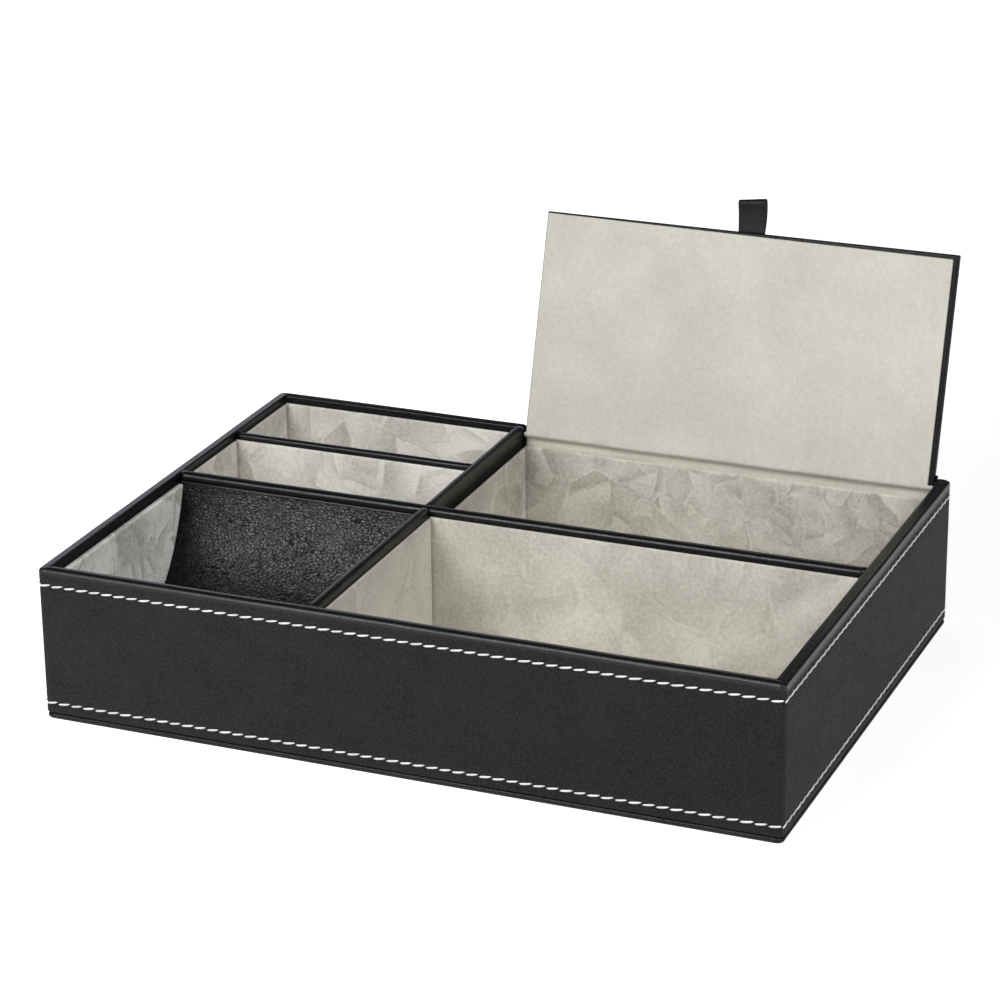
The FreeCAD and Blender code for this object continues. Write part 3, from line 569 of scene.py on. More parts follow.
# %% Read the places
tray_low, tray_high = span("outer_cover")
HALF_WIDTH = tray_high[0]
HALF_DEPTH = tray_high[1]
RIM = tray_high[2]
WALL_FOOT = tray_low[2]
INNER_X = span("front_bay_right_lining")[1][0]
INNER_Y = span("rear_bay_back_lining")[1][1]
WALL = HALF_WIDTH - INNER_X
hinge = [joint for joint in frame["joints"] if joint["name"] == "lid_hinge"][0]
fold = [joint for joint in frame["joints"] if joint["name"] == "tab_fold"][0]
HINGE_Y, HINGE_Z = hinge["pos_m"][1:]
OPEN_ANGLE = math.radians(hinge["range_deg"][1])


def turned(points, angle, weight=1.0):
    """Points turned about the hinge line by the angle times their weight."""
    points = np.array(points, float)
    angle = np.asarray(weight) * angle
    y, z = points[..., 1] - HINGE_Y, points[..., 2] - HINGE_Z
    points[..., 1] = HINGE_Y + y * np.cos(angle) - z * np.sin(angle)
    points[..., 2] = HINGE_Z + y * np.sin(angle) + z * np.cos(angle)
    return points


def closed_span(node):
    """The box of a lid part with the lid turned shut."""
    points = np.array([v.co for v in frame["nodes"][node].data.vertices])
    points = turned(points, OPEN_ANGLE)
    return points.min(0), points.max(0)


print("wall thickness %.1f mm, lid opens %.0f degrees" % (WALL / MM, math.degrees(OPEN_ANGLE)))

# %% [markdown]
# ## Leather round the walls
# One strip of leather runs round the four walls, rolls over the rim and is turned in behind the
# lining cards. Its surface is a function of two parameters: how far round the tray, and how far
# along the section, from the hem up the outside, over the rim and down the inside. Round the
# tray the section slides between an outer rectangle with rounded corners and an inner one.
# Behind the lid a second, lower section takes over. Each stitch row pulls the leather in.

# %% Lay out the stitches
PITCH_MM = 4.99
STITCH_MM = 4.62
SLANT_DEGREES = 9.0
CORNER_MARGIN = 2.8 * MM
TOP_ROW_Z = RIM - 6.46 * MM
BOTTOM_ROW_Z = 6.55 * MM
CORNER_RADIUS = 1.8 * MM
INNER_RADIUS = 0.6 * MM
CORNER_STEPS = 5


def stitch_places(half_length):
    """Middles of the stitches along one side, evenly spaced between the two corners."""
    reach = half_length - CORNER_MARGIN
    gaps = round(2 * reach / (PITCH_MM * MM))
    return np.linspace(-reach, reach, gaps + 1)


along_front = stitch_places(HALF_WIDTH)
along_side = stitch_places(HALF_DEPTH)
print("stitches a row:", 2 * len(along_front) + 2 * len(along_side))

# %% Walk round the tray
STATION_MM = 1.2
SIDE_TURN = math.pi / 2


def round_walk(half_width, half_depth, radius):
    """Points of a rectangle with quarter-circle corners, anticlockwise from the front left corner.
    The same stations serve the outer and the inner rectangle, as shares of each straight."""
    corners = np.array([(-1, -1), (1, -1), (1, 1), (-1, 1)]) * (half_width - radius, half_depth - radius)
    points = []
    for side in range(4):
        angle = side * SIDE_TURN - SIDE_TURN
        out = np.array([math.cos(angle), math.sin(angle)])
        length = 2 * (HALF_DEPTH if side % 2 else HALF_WIDTH)
        share = np.linspace(0, 1, round(length / (STATION_MM * MM)))[:, None]
        start, end = corners[side], corners[(side + 1) % 4]
        points.append(start + (end - start) * share + radius * out)
        bend = angle + SIDE_TURN * np.arange(1, CORNER_STEPS) / CORNER_STEPS
        points.append(end + radius * np.stack([np.cos(bend), np.sin(bend)], axis=-1))
    return np.concatenate(points)


outer_walk = round_walk(HALF_WIDTH, HALF_DEPTH, CORNER_RADIUS)
inner_walk = round_walk(INNER_X, INNER_Y, INNER_RADIUS)
print("stations round the tray:", len(outer_walk))

# %% Draw the section and sweep it
LEATHER_MM = 0.6
HEM = 0.7 * MM
INNER_SHOULDER = 0.6 * MM
ROW_STEPS = np.array([-1.8, -1.0, -0.5, 0, 0.5, 1.0, 1.8]) * MM
TURN_IN_MM = (3.0, 6.0, 10.0, 13.0)
DENTS = 0.06 * MM
WAVER = 0.12 * MM
PULL = 0.22 * MM
PULL_REACH = 0.9 * MM
PULL_BETWEEN = 0.45
SIDE_TILT = 0.48 * MM


def wall_section(top, across, drop, fall):
    """Hem, outside, shoulder, top, inner shoulder and turn-in, as depth from the outside and height.
    The shoulder is a quarter ellipse, this far across and down; from there the top falls inwards."""
    quarter = np.linspace(0, math.pi / 2, 9)
    heights = [WALL_FOOT + HEM + 1 * MM]
    for row in (BOTTOM_ROW_Z, min(TOP_ROW_Z, top - drop - 1.9 * MM)):
        heights += list(row + ROW_STEPS)
    middle = np.linspace(heights[7], heights[8], 9)[1:-1]
    heights = np.concatenate([heights[:8], middle, heights[8:]])
    depth = [0.8 * MM] + list(HEM - HEM * np.sin(quarter)) + [0.0] * len(heights)
    height = [WALL_FOOT + 0.3 * MM] + list(WALL_FOOT + HEM - HEM * np.cos(quarter)) + list(heights)
    depth += list(across - across * np.cos(quarter))
    height += list(top - drop * (1 - np.sin(quarter)))
    inner = INNER_SHOULDER
    flat = np.linspace(across, WALL - inner, 5)[1:]
    depth += list(flat) + list(WALL - inner + inner * np.sin(quarter[1:]))
    height += list(top - fall * (flat - across) / (flat[-1] - across))
    height += list(top - fall - inner + inner * np.cos(quarter[1:]))
    for down in TURN_IN_MM:
        depth.append(WALL)
        height.append(top - down * MM)
    return np.array(depth), np.array(height)


def near_stitches(walk):
    """How hard the thread pulls at each station: 1 at a hole, where two stitches meet, less between."""
    on_side = np.abs(np.abs(walk[:, 0]) - HALF_WIDTH) < 0.5 * MM
    spot = np.where(on_side, walk[:, 1], walk[:, 0])
    places = np.where(on_side[:, None], np.resize(along_side, len(along_front)), along_front)
    nearest = np.abs(spot[:, None] - places).min(1) / (PITCH_MM * MM / 2)
    return PULL_BETWEEN + (1 - PULL_BETWEEN) * ease(nearest * 1.3 - 0.3)


def sweep_walls():
    """Blends outer and inner walk by depth, with the low section behind the lid, and adds the
    thread's pull: dip = pull * exp(-(height from the row / reach)^2)."""
    depth, height = wall_section(RIM, 2.0 * MM, 2.7 * MM, 0.3 * MM)
    side_depth, side_height = wall_section(RIM - SIDE_TILT, 1.1 * MM, 1.0 * MM, -SIDE_TILT)
    fold_low, fold_high = span("hinge_leather")
    low_depth, low_height = wall_section(fold_low[2], 0.5 * MM, 0.8 * MM, 0.3 * MM)
    gap, step = 0.6 * MM, 0.8 * MM
    x, y = outer_walk[:, 0], outer_walk[:, 1]
    from_left = ease((x - fold_low[0] + gap + step) / step)
    from_right = ease((fold_high[0] + gap + step - x) / step)
    low_share = (from_left * from_right * (y > HALF_DEPTH - 1 * MM))[:, None]
    side_share = ease((np.abs(x) - HALF_WIDTH + 2 * MM) / (2 * MM))[:, None]
    d = depth * (1 - side_share) + side_depth * side_share
    z = height * (1 - side_share) + side_height * side_share
    d = d * (1 - low_share) + low_depth * low_share
    z = z * (1 - low_share) + low_height * low_share
    travel = np.cumsum(np.r_[0, np.hypot(*np.diff(outer_walk, axis=0).T)])[:, None]
    pull = near_stitches(outer_walk)[:, None]
    outside = d < 0.2 * MM
    for row in (BOTTOM_ROW_Z, TOP_ROW_Z):
        d = d + outside * pull * PULL * np.exp(-((z - row) / PULL_REACH) ** 2)
    d = d + outside * DENTS * (1 + hills(travel, z, 23.0))
    z = z + WAVER * hills(travel, d, 30.0, 2) * ease((z - RIM + 4 * MM) / (4 * MM)) * (1 - low_share)
    z = np.minimum(z, RIM)
    share = (d / WALL)[..., None]
    plan = outer_walk[:, None, :] * (1 - share) + inner_walk[:, None, :] * share
    taut = ease((z - RIM + 2.9 * MM) / (1.4 * MM))
    return np.concatenate([plan, z[..., None]], axis=-1), taut


def add_layer(piece, name, values):
    """Stores one value for each point of a piece, for its material to read."""
    layer = piece.data.attributes.new(name, "FLOAT", "POINT")
    layer.data.foreach_set("value", np.asarray(values, np.float32).ravel())


wall_points, wall_taut = sweep_walls()
wall_faces = quads(*wall_points.shape[:2], ring_rows=True)
outer_leather = new_piece("outer_leather", wall_points, wall_faces, wall_leather, "tray",
                          ["outer_cover"], sheet_mm=LEATHER_MM, outward=(0, 0, -1))
add_layer(outer_leather, "taut", wall_taut)
print("outer leather:", wall_points.shape[0], "by", wall_points.shape[1], "points")

# %% [markdown]
# ## The base
# The base is a board in a leather pan of its own, glued under the walls. Only its edge shows, and
# the dark line above it, where its rounded edge meets the hem of the wall's leather.

# %% Lay the base
BASE_INSET = 0.12 * MM
BASE_CORNER = 2.2 * MM


def base_pan():
    """Rings of the rounded rectangle, each with its inset and height: top edge, side, underside."""
    rings = [(4.0, 2.45), (1.3, 2.45), (0.7, 2.3), (0.3, 2.0), (0.08, 1.6), (0.0, 1.2), (0.06, 0.8),
             (0.25, 0.4), (0.6, 0.1), (1.1, 0.0)]
    rings = [(inset * MM, height * MM) for inset, height in rings]
    rings.append((HALF_DEPTH - BASE_INSET - 0.05 * MM, 0.0))
    points = []
    for inset, height in rings:
        half_width, half_depth = HALF_WIDTH - BASE_INSET - inset, HALF_DEPTH - BASE_INSET - inset
        walk = round_walk(half_width, half_depth, min(BASE_CORNER, half_depth * 0.9))
        points.append(np.c_[walk, np.full(len(walk), height)])
    return np.stack(points, axis=1)


base_points = base_pan()
new_piece("base_leather", base_points, quads(*base_points.shape[:2], ring_rows=True), cap_leather,
          "tray", ["base_cover"], outward=(0, 0, 1))
print("base corners rounded by %.1f mm" % (BASE_CORNER / MM))

# %% [markdown]
# ## Stitches
# A lockstitch shows as short dashes. Each dash is a piece of thick thread that comes up through
# one hole, lies on the leather and goes down through the next, so it is a small bent capsule,
# highest in its middle. The machine leaves every dash a little slanted. One capsule of few faces
# is worked out once and set down at every place.

# %% Set the stitches
THREAD_RADIUS = 0.40 * MM


def one_stitch():
    """A capsule along X: radius r = R * (1 - t^4)^(1/2), middle raised by (1 - t^2), t from -1 to 1."""
    t = np.linspace(-0.985, 0.985, 7)
    ring = np.arange(6) * math.tau / 6
    radius = THREAD_RADIUS * np.sqrt(1 - t ** 4)
    x = t * STITCH_MM * MM / 2
    slant = math.tan(math.radians(SLANT_DEGREES)) * x
    rise = (0.24 * (1 - t ** 2) - 0.12) * MM
    out = rise[:, None] + radius[:, None] * np.cos(ring) * 0.8
    up = slant[:, None] + radius[:, None] * np.sin(ring)
    return np.stack([np.broadcast_to(x[:, None], out.shape), out, up], axis=-1)


def stitch_rows(name, height):
    """Puts a stitch at every place of a row: along, out and up become that side's own directions."""
    pattern = one_stitch()
    rows, columns = pattern.shape[:2]
    cap = np.array([(0, 1, 2, 3), (0, 3, 4, 5)])
    faces = np.concatenate([quads(rows, columns, ring_columns=True), cap[:, ::-1],
                            cap + (rows - 1) * columns])
    points, corners = [], []
    for side, (places, reach) in enumerate(((along_front, HALF_DEPTH), (along_side, HALF_WIDTH)) * 2):
        angle = side * SIDE_TURN
        along = np.array([math.cos(angle), math.sin(angle), 0])
        out = np.array([math.sin(angle), -math.cos(angle), 0])
        middles = places[:, None] * along + (reach - 0.1 * MM) * out + np.array([0, 0, height])
        axes = np.stack([along, out, [0, 0, 1]])
        jitter = 1 + 0.05 * np.sin(np.arange(len(places)) * 2.4)[:, None, None, None]
        stitches = middles[:, None, None, :] + (pattern @ axes) * jitter
        start = sum(len(block) for block in points)
        number = np.arange(len(places))[:, None, None] * rows * columns
        corners.append((faces[None] + number).reshape(-1, 4) + start)
        points.append(stitches.reshape(-1, 3))
    new_piece(name, np.concatenate(points), np.concatenate(corners), white_thread, "tray")


stitch_rows("top_stitching", TOP_ROW_Z)
stitch_rows("bottom_stitching", BOTTOM_ROW_Z)
print("stitches set:", 4 * (len(along_front) + len(along_side)))

# %% [markdown]
# ## Divider caps
# Each divider is a board in its own leather cap, which drops down both sides behind the linings.
# The section is an arch: up one side, over two rounded shoulders and down the other. It is swept
# along the divider with a slight waver. The front-to-back cap is cut where the other one crosses.

# %% Cap the dividers
CAP_STATION_MM = 1.6
CAP_WAVER = 0.10 * MM
CAP_PINCH = 0.10 * MM


def cap_section(half, top, radius, foot):
    """An upside-down U: across and height, from the left foot over the top to the right foot."""
    quarter = np.linspace(0, math.pi / 2, 6)
    across = np.r_[-half, -half, -half, -half + radius - radius * np.cos(quarter)]
    height = np.r_[foot, foot + 0.6 * (top - foot), top - 3 * radius, top - radius + radius * np.sin(quarter)]
    flat = np.linspace(-half + radius, 0, 3)[1:]
    across = np.r_[across, flat, -flat[-2::-1], -across[::-1]]
    height = np.r_[height, top, top, np.full(len(flat) - 1, top), height[::-1]]
    return across, height


def sweep_cap(node, along, radius_mm, runs, seed):
    """Sweeps the arch along X (0) or Y (1) between the ends of each run, as one piece, and marks the
    leather near its top as taut."""
    low, high = span(node)
    side = 1 - along
    middle, half = (low[side] + high[side]) / 2, (high[side] - low[side]) / 2
    across, height = cap_section(half, high[2], radius_mm * MM, low[2])
    points, faces = [], []
    for start, end in runs:
        stations = np.linspace(start, end, max(3, round((end - start) / (CAP_STATION_MM * MM))))[:, None]
        grid = np.zeros((len(stations), len(across), 3))
        waver = CAP_WAVER * hills(stations, 0 * stations, 26.0, seed)
        pinch = CAP_PINCH * hills(stations, height[None, :], 5.0, seed + 1)
        grid[..., along] = stations
        grid[..., side] = middle + across + waver * (height > high[2] - 6 * MM) + pinch * np.sign(across)
        grid[..., 2] = np.minimum(height + 0.5 * pinch * (np.abs(across) < half * 0.9), high[2])
        faces.append(quads(*grid.shape[:2]) + sum(len(block) for block in points))
        points.append(grid.reshape(-1, 3))
    points, faces = np.concatenate(points), np.concatenate(faces)
    cap = new_piece(node.replace("_cover", "_cap"), points, faces, cap_leather, "tray",
                    [node], sheet_mm=LEATHER_MM, outward=-np.eye(3)[side])
    add_layer(cap, "taut", ease((points[:, 2] - high[2] + 3.0 * MM) / (1.5 * MM)))


cross_low, cross_high = span("cross_divider_cover")
centre_low, centre_high = span("centre_divider_cover")
rear_low, rear_high = span("rear_divider_cover")
sweep_cap("cross_divider_cover", 0, 1.8, [(cross_low[0], cross_high[0])], 3)
sweep_cap("centre_divider_cover", 1, 1.8, [(centre_low[1], cross_low[1]), (cross_high[1], centre_high[1])], 5)
sweep_cap("rear_divider_cover", 0, 1.2, [(rear_low[0], rear_high[0])], 8)
print("cross divider is %.1f mm thick" % ((cross_high[1] - cross_low[1]) / MM))

# %% [markdown]
# ## Lining cards
# A lining is a card wrapped in suede cloth and pushed into place. Its edges are soft and rounded,
# and its face is never quite flat. The card is a closed tube: a section of two halves, front and
# back, swept along its length and drawn in at both ends. Low hills press the face in. A few were
# cut or pushed in less well: slack cloth makes one thicker and lower, one stands proud of its
# neighbours, and others stop short of a corner, which leaves a dark gap there.

# %% Cover the cards
CARD_PRESS_MM = 0.18
WALL_STEP_MM = 1.5
FLOOR_STEP_MM = 3.0
SLACK_CLOTH = 1.2 * MM
PROUD_EDGE = 0.7 * MM
CORNER_GAP = 1.1 * MM
EDGE_RADIUS = 0.5 * MM


def card_section(thick, tall, radius, step_mm):
    """Front half of a rounded section from the foot to the top; the back half mirrors it."""
    quarter = np.linspace(0, math.pi / 2, 4)
    steps = max(3, round(tall / (step_mm * MM)))
    rise = np.linspace(radius, tall - radius, steps)[1:-1]
    depth = np.r_[radius - radius * np.sin(quarter), np.zeros(len(rise)), radius - radius * np.cos(quarter)]
    height = np.r_[radius - radius * np.cos(quarter), rise, tall - radius + radius * np.sin(quarter)]
    return np.r_[depth, thick - depth[::-1]], np.r_[height, height[::-1]]


def soft_card(low, high, facing, seed, press_mm, step_mm):
    """A soft-edged card that fills a box. Facing is the axis that its face looks along, as a number
    0, 1 or 2, negative as ~axis. The face sinks by press * (1.5 + hills) / 3, less near its edges."""
    axis, sign = (facing, 1) if facing >= 0 else (~facing, -1)
    long_axis = 1 if axis == 0 else 0
    tall_axis = 3 - axis - long_axis
    size = high - low
    radius = min(EDGE_RADIUS, size[axis] * 0.40)
    depth, height = card_section(size[axis], size[tall_axis], radius, step_mm)
    bend = np.linspace(0.25, 1, 4)[:-1] * math.pi / 2
    straight = np.linspace(radius, size[long_axis] - radius, max(3, round(size[long_axis] / (step_mm * MM))))
    run = np.r_[radius - radius * np.cos(bend), straight]
    run = np.r_[run, size[long_axis] - run[:3][::-1]]
    inset = np.r_[radius - radius * np.sin(bend), np.zeros(len(straight))]
    inset = np.r_[inset, inset[:3][::-1]][:, None]
    rim = np.minimum.reduce([height, size[tall_axis] - height])[None, :]
    rim = np.minimum(rim, np.minimum(run, size[long_axis] - run)[:, None])
    is_face = (depth < size[axis] / 2)[None, :]
    hill = hills(run[:, None], height[None, :], 16.0, seed)
    hill = hill + 0.5 * hills(run[:, None], height[None, :], 6.0, seed + 4)
    sunk = press_mm * MM * (1.5 + hill) / 3 * ease(rim / (2.5 * MM)) * is_face
    d = np.clip(depth[None, :], inset, size[axis] - inset) + sunk
    h = np.clip(height[None, :], inset, size[tall_axis] - inset)
    grid = np.zeros(d.shape + (3,))
    grid[..., long_axis] = low[long_axis] + run[:, None]
    grid[..., tall_axis] = low[tall_axis] + h
    grid[..., axis] = high[axis] - d if sign > 0 else low[axis] + d
    rows, columns = d.shape
    faces = np.concatenate([quads(rows, columns, ring_columns=True), end_strip(0, columns)[:, ::-1],
                            end_strip((rows - 1) * columns, columns)])
    return grid, faces


def lining_card(node, low, high, facing, suede, seed, step_mm):
    """Covers a card that takes the place of a lining or floor of the model, and is named after it."""
    grid, faces = soft_card(low, high, facing, seed, CARD_PRESS_MM, step_mm)
    new_piece(node.replace("_lining", "") + "_card", grid, faces, suede, "tray", [node])


WALLS = {"left": 0, "right": ~0, "front": 1, "back": ~1}
BAYS = {"scoop_bay": rumpled_suede, "front_bay": bay_suede, "lidded_bay": lidded_suede,
        "middle_bay": crushed_suede, "rear_bay": crushed_suede}
cards = 0
for bay, suede in BAYS.items():
    low, high = span(bay + "_floor")
    lining_card(bay + "_floor", low, high, 2, suede, cards, FLOOR_STEP_MM)
    cards += 1
    for wall, facing in WALLS.items():
        node = f"{bay}_{wall}_lining"
        if node not in frame["nodes"]:
            continue
        low, high = span(node)
        if node == "scoop_bay_left_lining":
            high += (SLACK_CLOTH, 0, -SLACK_CLOTH * 0.6)
        elif wall == "left":
            high[1] -= CORNER_GAP
        if node == "scoop_bay_right_lining":
            high[2] += PROUD_EDGE
        lining_card(node, low, high, facing, suede, cards * 1.7, WALL_STEP_MM)
        cards += 1
print("covered cards:", cards)

# %% [markdown]
# ## The scoop
# Coins slide up a hollow panel: thin card bent to an arc, covered in leather with a coarse
# pebbled grain that catches the light. The grain is real height here. Every point finds the
# nearest and second nearest of many scattered seeds; where both are equally far there is a
# valley between two pebbles. The pebbles are drawn out along the panel. Their shine is painted:
# it is raised near the top edge as a painted highlight, and held back towards the floor and the
# left end as painted shade, where the front and left walls shade the panel. Each point's pebble
# height and its share of shine are stored with the mesh for the leather's material to read.

# %% Emboss and bend the scoop leather
SCOOP_RADIUS = 75.0 * MM
SCOOP_AXIS_Z = 73.5 * MM
SEED_LATTICE = 128
GRAIN_STEP = 0.32 * MM
GRAIN_HEIGHT = 0.13 * MM
WANDER = 1.2 * MM
CRUMPLE = 0.45 * MM
PEBBLES = {"cell_mm": 0.92, "stretch": 1.85, "valley": 0.34, "seed": 21}
CREASES = {"cell_mm": 4.0, "stretch": 2.0, "valley": 0.16, "seed": 22}
PRESSED_GRAIN = 0.7
LIP_FLAT = 0.5 * MM
# Painted shade: the scoop's shine falls off over these distances from its left end and from its floor.
SHADED_FROM_LEFT = 27 * MM
SHADED_FROM_FLOOR = 40 * MM
# Painted highlight: the scoop's shine rises from this height, over this span, near its top edge.
TOP_SHEEN_FROM = 40 * MM
TOP_SHEEN_OVER = 17 * MM


def pebbles(across, along, cell_mm, stretch, valley, seed):
    """Worley pebbles from 0 in a valley to 1 on top: second nearest less nearest seed distance, over
    the valley's width as a share of a cell."""
    offsets = np.random.default_rng(seed).random((SEED_LATTICE, SEED_LATTICE, 2))
    u = np.asarray(across) / (cell_mm * stretch * MM)
    v = np.asarray(along) / (cell_mm * MM)
    i, j = np.floor(u).astype(int), np.floor(v).astype(int)
    distances = []
    for a in (-1, 0, 1):
        for b in (-1, 0, 1):
            seeds = offsets[(i + a) % SEED_LATTICE, (j + b) % SEED_LATTICE]
            distances.append(np.hypot(i + a + seeds[..., 0] - u, j + b + seeds[..., 1] - v))
    distances = np.sort(np.stack(distances), axis=0)
    return ease((distances[1] - distances[0]) / valley)


def scoop_surface():
    """An arc of a drum: y = axis_y + R sin(a), z = axis_z - R cos(a), less the pebbles' height. The
    last rows roll over the panel's top edge, so that the card inside it can't be seen. Gives the
    points, the pebbles' height at each, and the share of shine that each keeps, from 0.25 to 1:
    painted shade towards the floor and the left end, and a painted highlight near the top."""
    low, high = span("scoop_leather")
    low[0] += SLACK_CLOTH
    outer = SCOOP_RADIUS + LEATHER_MM * MM
    axis_y = high[1] - math.sqrt(outer ** 2 - (SCOOP_AXIS_Z - high[2]) ** 2)
    start = math.acos((SCOOP_AXIS_Z - (low[2] + 0.2 * MM)) / SCOOP_RADIUS)
    end = math.acos((SCOOP_AXIS_Z - (high[2] - 0.3 * MM)) / SCOOP_RADIUS)
    angle = np.linspace(start, end, round((end - start) * SCOOP_RADIUS / GRAIN_STEP))[:, None]
    x = np.linspace(low[0], high[0], round((high[0] - low[0]) / GRAIN_STEP))[None, :]
    arc = SCOOP_RADIUS * angle
    wander = WANDER * hills(x, arc, 9.0, 3)
    crumple = CRUMPLE * hills(x, arc, 1.9, 5)
    grain = pebbles(x + wander - 1.5 * crumple, arc + wander + crumple, **PEBBLES)
    creases = pebbles(x + 3 * wander, arc + 0.25 * x - 2 * wander, **CREASES)
    grain = grain * (0.6 + 0.4 * creases) * (0.8 + 0.2 * hills(x, arc, 2.0, 6))
    flattened = ease((arc[-1] - arc) / LIP_FLAT)
    grain = PRESSED_GRAIN + (grain - PRESSED_GRAIN) * flattened
    reach = SCOOP_RADIUS + 0.05 * MM - GRAIN_HEIGHT * grain + 0.05 * MM * hills(x, arc, 20.0, 9)
    y = axis_y + reach * np.sin(angle)
    z = SCOOP_AXIS_Z - reach * np.cos(angle)
    roll = np.array([0, 0.3, 0.65, 1])[:, None]
    edge_y = y[-1] + (cross_low[1] + 0.2 * MM - y[-1]) * roll
    edge_z = high[2] + 0.05 * MM + 0.2 * MM * np.sqrt(roll) + 0 * x
    lip_x = np.linspace(low[0] - SLACK_CLOTH, high[0], x.size)[None, :]
    x = np.concatenate([np.repeat(x, len(angle), axis=0), np.repeat(lip_x, len(roll), axis=0)])
    grain = np.concatenate([grain, np.repeat(grain[-1:], len(roll), axis=0)])
    y, z = np.concatenate([y, edge_y]), np.concatenate([z, edge_z])
    # Painted highlight near the top edge, times painted shade towards the left end and the floor.
    top_sheen = 0.38 + 0.62 * ease((z - TOP_SHEEN_FROM) / TOP_SHEEN_OVER)
    painted_sheen = 0.08 + 0.92 * ease((x - low[0]) / SHADED_FROM_LEFT) * ease((z - low[2]) / SHADED_FROM_FLOOR) * top_sheen
    return np.stack(np.broadcast_arrays(x, y, z), axis=-1), grain, 0.25 + 0.75 * painted_sheen


scoop_points, scoop_heights, scoop_shade_and_sheen = scoop_surface()
scoop = new_piece("scoop_panel_leather", scoop_points, quads(*scoop_points.shape[:2]), scoop_grain,
                  "tray", ["scoop_leather"], outward=(0, -1, 1))
add_layer(scoop, "pebble", scoop_heights)
add_layer(scoop, "shade_and_sheen", scoop_shade_and_sheen)
print("scoop leather:", scoop_points.shape[:2], "points")

# %% [markdown]
# ## The lid
# The lid is a board in leather, turned in on its underside, with a suede card glued over the
# turn-in so that a thin black line shows round it. Both are made closed and flat, then turned
# open about the hinge line.

# %% Make the lid
LID_STEP_MM = 1.4


def lid_slab(name, node, facing, finish, seed, press_mm, replaced, right_mm, slip_mm=0.0):
    """A soft-edged slab in the closed lid's place, turned open with the lid. Its right edge is cut
    back, and its free edge slips back towards the right, as the card was glued a little askew."""
    low, high = closed_span(node)
    high[0] -= right_mm * MM
    grid, faces = soft_card(low, high, facing, seed, press_mm, LID_STEP_MM)
    share = (grid - low) / (high - low)
    grid[..., 1] += slip_mm * MM * share[..., 0] * (1 - share[..., 1])
    new_piece(name, turned(grid, -OPEN_ANGLE), faces, finish, "lid", replaced)


lid_slab("lid_leather", "lid_cover", 2, wall_leather, 31, 0.15, ["lid_cover", "lid_board"],
         right_mm=0.8)
lid_slab("lid_suede_card", "lid_lining", ~2, lid_suede, 37, 0.10, ["lid_lining"], right_mm=1.9,
         slip_mm=1.2)
lid_low, lid_high = closed_span("lid_cover")
print("lid %.1f by %.1f mm" % tuple((lid_high - lid_low)[:2] / MM))

# %% [markdown]
# ## The hinge
# Nothing but cloth and leather holds the lid. Inside, the suede of the lid's card runs on down to
# the ledge; outside, its leather runs on over the lowered back wall. Both strips are drawn in the
# section plane as the lid stands open; the leather is drawn closed, and each of its points is
# turned open by its share of the lid's turn.
# Drawn open, the cloth is a curve between ledge and lid, with a swelling halfway up and a dent
# above it.

# %% Hang the lid on its cloth
RIPPLE = 0.36 * MM
# Each bend of the cloth: how far out in mm, then where and how broad as shares of its length.
SWELLING = (0.5, 0.48, 0.2)
DENT = (-0.85, 0.84, 0.17)


def hinge_strip(name, section, ends, finish, replaced, thick_mm, seed):
    """A strip along X between two ends: the section's points are depth and height, open. A ripple
    runs along it, none at its two long edges."""
    low, high = ends
    x = np.linspace(low, high, 140)[:, None]
    section = np.array(section)
    ripple = RIPPLE * hills(x, np.arange(len(section))[None, :] * 1.5 * MM, 19.0, seed)
    ripple = ripple * np.sin(np.linspace(0, math.pi, len(section)))
    grid = np.stack(np.broadcast_arrays(x, section[:, 0] + ripple, section[:, 1]), axis=-1)
    strip = new_piece(name, grid, quads(*grid.shape[:2]), finish, None, replaced,
                      sheet_mm=thick_mm, outward=(0, -1, 0))
    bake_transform(strip)
    return strip


strip_low, strip_high = span("hinge_strip")
crease = turned([0, lid_high[1], closed_span("lid_lining")[0][2]], -OPEN_ANGLE)
share = np.linspace(0, 1, 21)[:, None]
foot = np.array([strip_low[1] - 0.05 * MM, strip_low[2]])
knee = np.array([strip_low[1] - 0.1 * MM, strip_low[2] + 2.5 * MM])
tip = np.array([crease[1] + 0.15 * MM, crease[2] + 0.3 * MM])
tucked = np.array([strip_high[1] - 0.05 * MM, strip_low[2] - 3.5 * MM])
gusset_section = (1 - share) ** 2 * foot + 2 * share * (1 - share) * knee + share ** 2 * tip
for out_mm, middle, spread in (SWELLING, DENT):
    gusset_section[:, :1] += out_mm * MM * np.exp(-((share - middle) / spread) ** 2)
gusset_section = np.concatenate([[tucked], gusset_section])
gusset = hinge_strip("hinge_suede", gusset_section, (strip_low[0], strip_high[0]), lid_suede,
                     ["hinge_strip"], 0.35, 41)

# %% Run the leather over the back wall
leather_low, leather_high = span("hinge_leather")
closed_path = np.array([(leather_high[1], leather_high[2]), (leather_low[1], leather_high[2]),
                        (HINGE_Y - 0.5 * MM, leather_high[2] + 0.3 * MM), (lid_high[1], lid_high[2]),
                        (lid_high[1] - 4 * MM, lid_high[2])])
lid_share = np.array([0.0, 0.0, 0.5, 1.0, 1.0])
closed_points = np.c_[np.zeros(5), closed_path]
open_path = turned(closed_points, -OPEN_ANGLE, lid_share)[:, 1:]
hinge_strip("hinge_leather_fold", open_path, (leather_low[0], leather_high[0]), cap_leather,
            ["hinge_leather"],
            0.25, 43)
print("leather fold open:", (open_path / MM).round(2).tolist())

# %% [markdown]
# ## The ribbon pull
# A short satin ribbon is looped on itself, and its two ends are caught between the lid's leather
# and its card. It is a sheet along one curve: up the front, round the top and down the back.

# %% Loop the ribbon
RIBBON_LEAN = math.radians(9.0)
LOOP_RADIUS = 1.4 * MM
LOOP_HEIGHT = 11.3 * MM


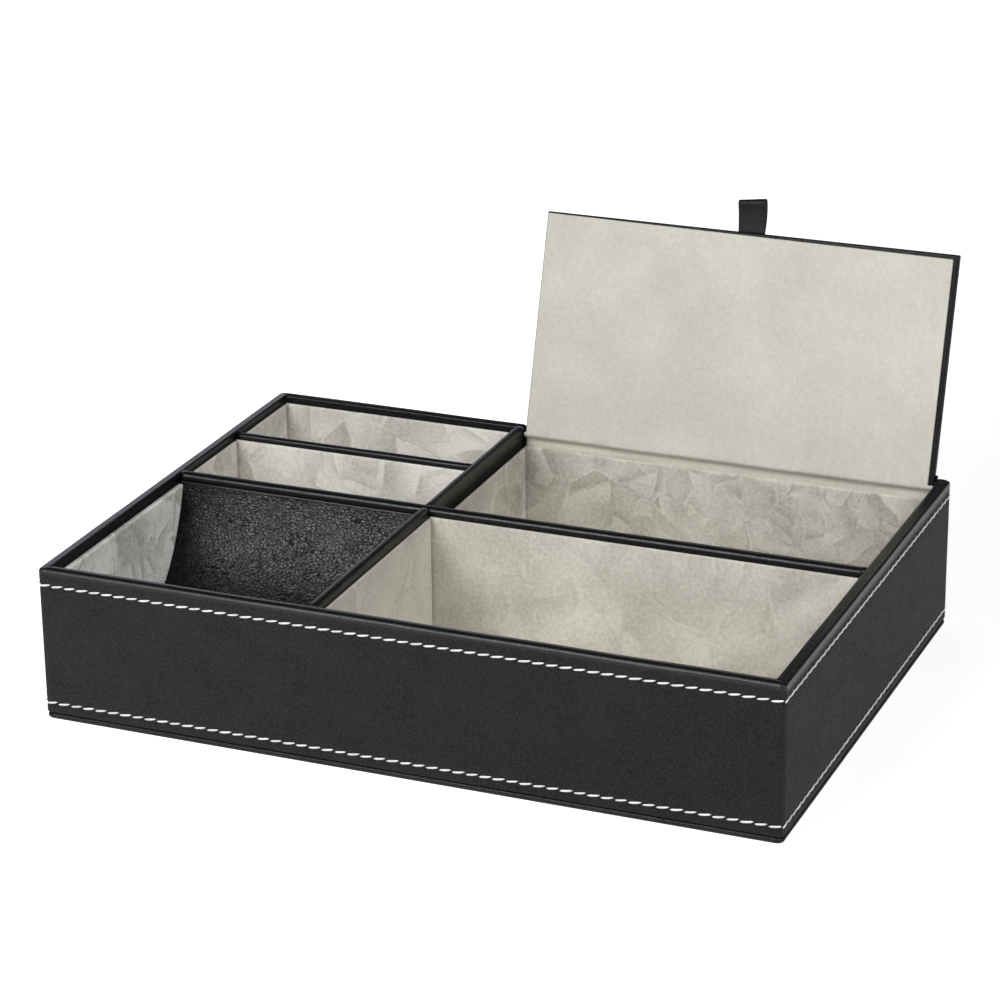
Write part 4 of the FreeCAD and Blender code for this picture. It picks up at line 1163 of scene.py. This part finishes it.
def ribbon_loop():
    """The loop's path in its own plane, depth and height: a Bezier curve up the front, a half circle
    and the front mirrored. It is tapered, leaned back and set on the lid's edge."""
    low, high = span("pull_tab")
    pivot_y, pivot_z = fold["pos_m"][1:]
    t = np.linspace(0, 1, 15)[:, None]
    neck, belly, shoulder = np.array([(-0.1 * MM, 0.0), (-0.15 * MM, 6.5 * MM), (-LOOP_RADIUS, LOOP_HEIGHT)])
    front = (1 - t) ** 2 * neck + 2 * t * (1 - t) * belly + t ** 2 * shoulder
    angle = np.linspace(math.pi, 0, 9)[1:-1]
    top = np.stack([LOOP_RADIUS * np.cos(angle), LOOP_HEIGHT + LOOP_RADIUS * np.sin(angle)], axis=-1)
    path = np.concatenate([front, top, (front * (-1, 1))[::-1]])
    depth, height = path[:, 0][None, :], path[:, 1][None, :]
    across = np.linspace(0, 1, 13)[:, None]
    foot = 1 - height / height.max()
    left = low[0] + (1.2 + 0.4 * foot) * MM
    right = high[0] + (0.2 + 2.4 * foot * (1 - foot) + 0.4 * foot) * MM
    x = left + (right - left) * across
    height = height * (0.93 + 0.11 * across)
    height = height - 0.9 * MM * foot ** 3
    y = pivot_y + depth * math.cos(RIBBON_LEAN) + height * math.sin(RIBBON_LEAN)
    z = pivot_z - depth * math.sin(RIBBON_LEAN) + height * math.cos(RIBBON_LEAN)
    return np.stack(np.broadcast_arrays(x, y, z), axis=-1), path


ribbon_points, ribbon_path = ribbon_loop()
ribbon = new_piece("ribbon_pull", ribbon_points, quads(*ribbon_points.shape[:2]), satin, "pull",
                   ["pull_tab"], sheet_mm=0.18, outward=(0, -1, 0))
strip_map = ribbon.data.uv_layers.new(name="strip")
corner_numbers = np.zeros(len(ribbon.data.loops), int)
ribbon.data.loops.foreach_get("vertex_index", corner_numbers)
rows, columns = ribbon_points.shape[:2]
uv = np.stack([corner_numbers // columns / (rows - 1), corner_numbers % columns / (columns - 1)], axis=-1)
strip_map.data.foreach_set("uv", uv.astype(np.float32).ravel())

# %% [markdown]
# ## Parts kept from the model
# The boards and the scoop's card keep their exact shapes and only get a surface. The card is
# wrapped in the same leather as the caps, so it is black where its edge shows.

# %% Finish the parts that stay
for name, part in frame["nodes"].items():
    part.data.materials.clear()
    part.data.materials.append(cap_leather if name == "scoop_card" else board)
print("kept parts:", sum(not part.hide_render for part in frame["nodes"].values()))
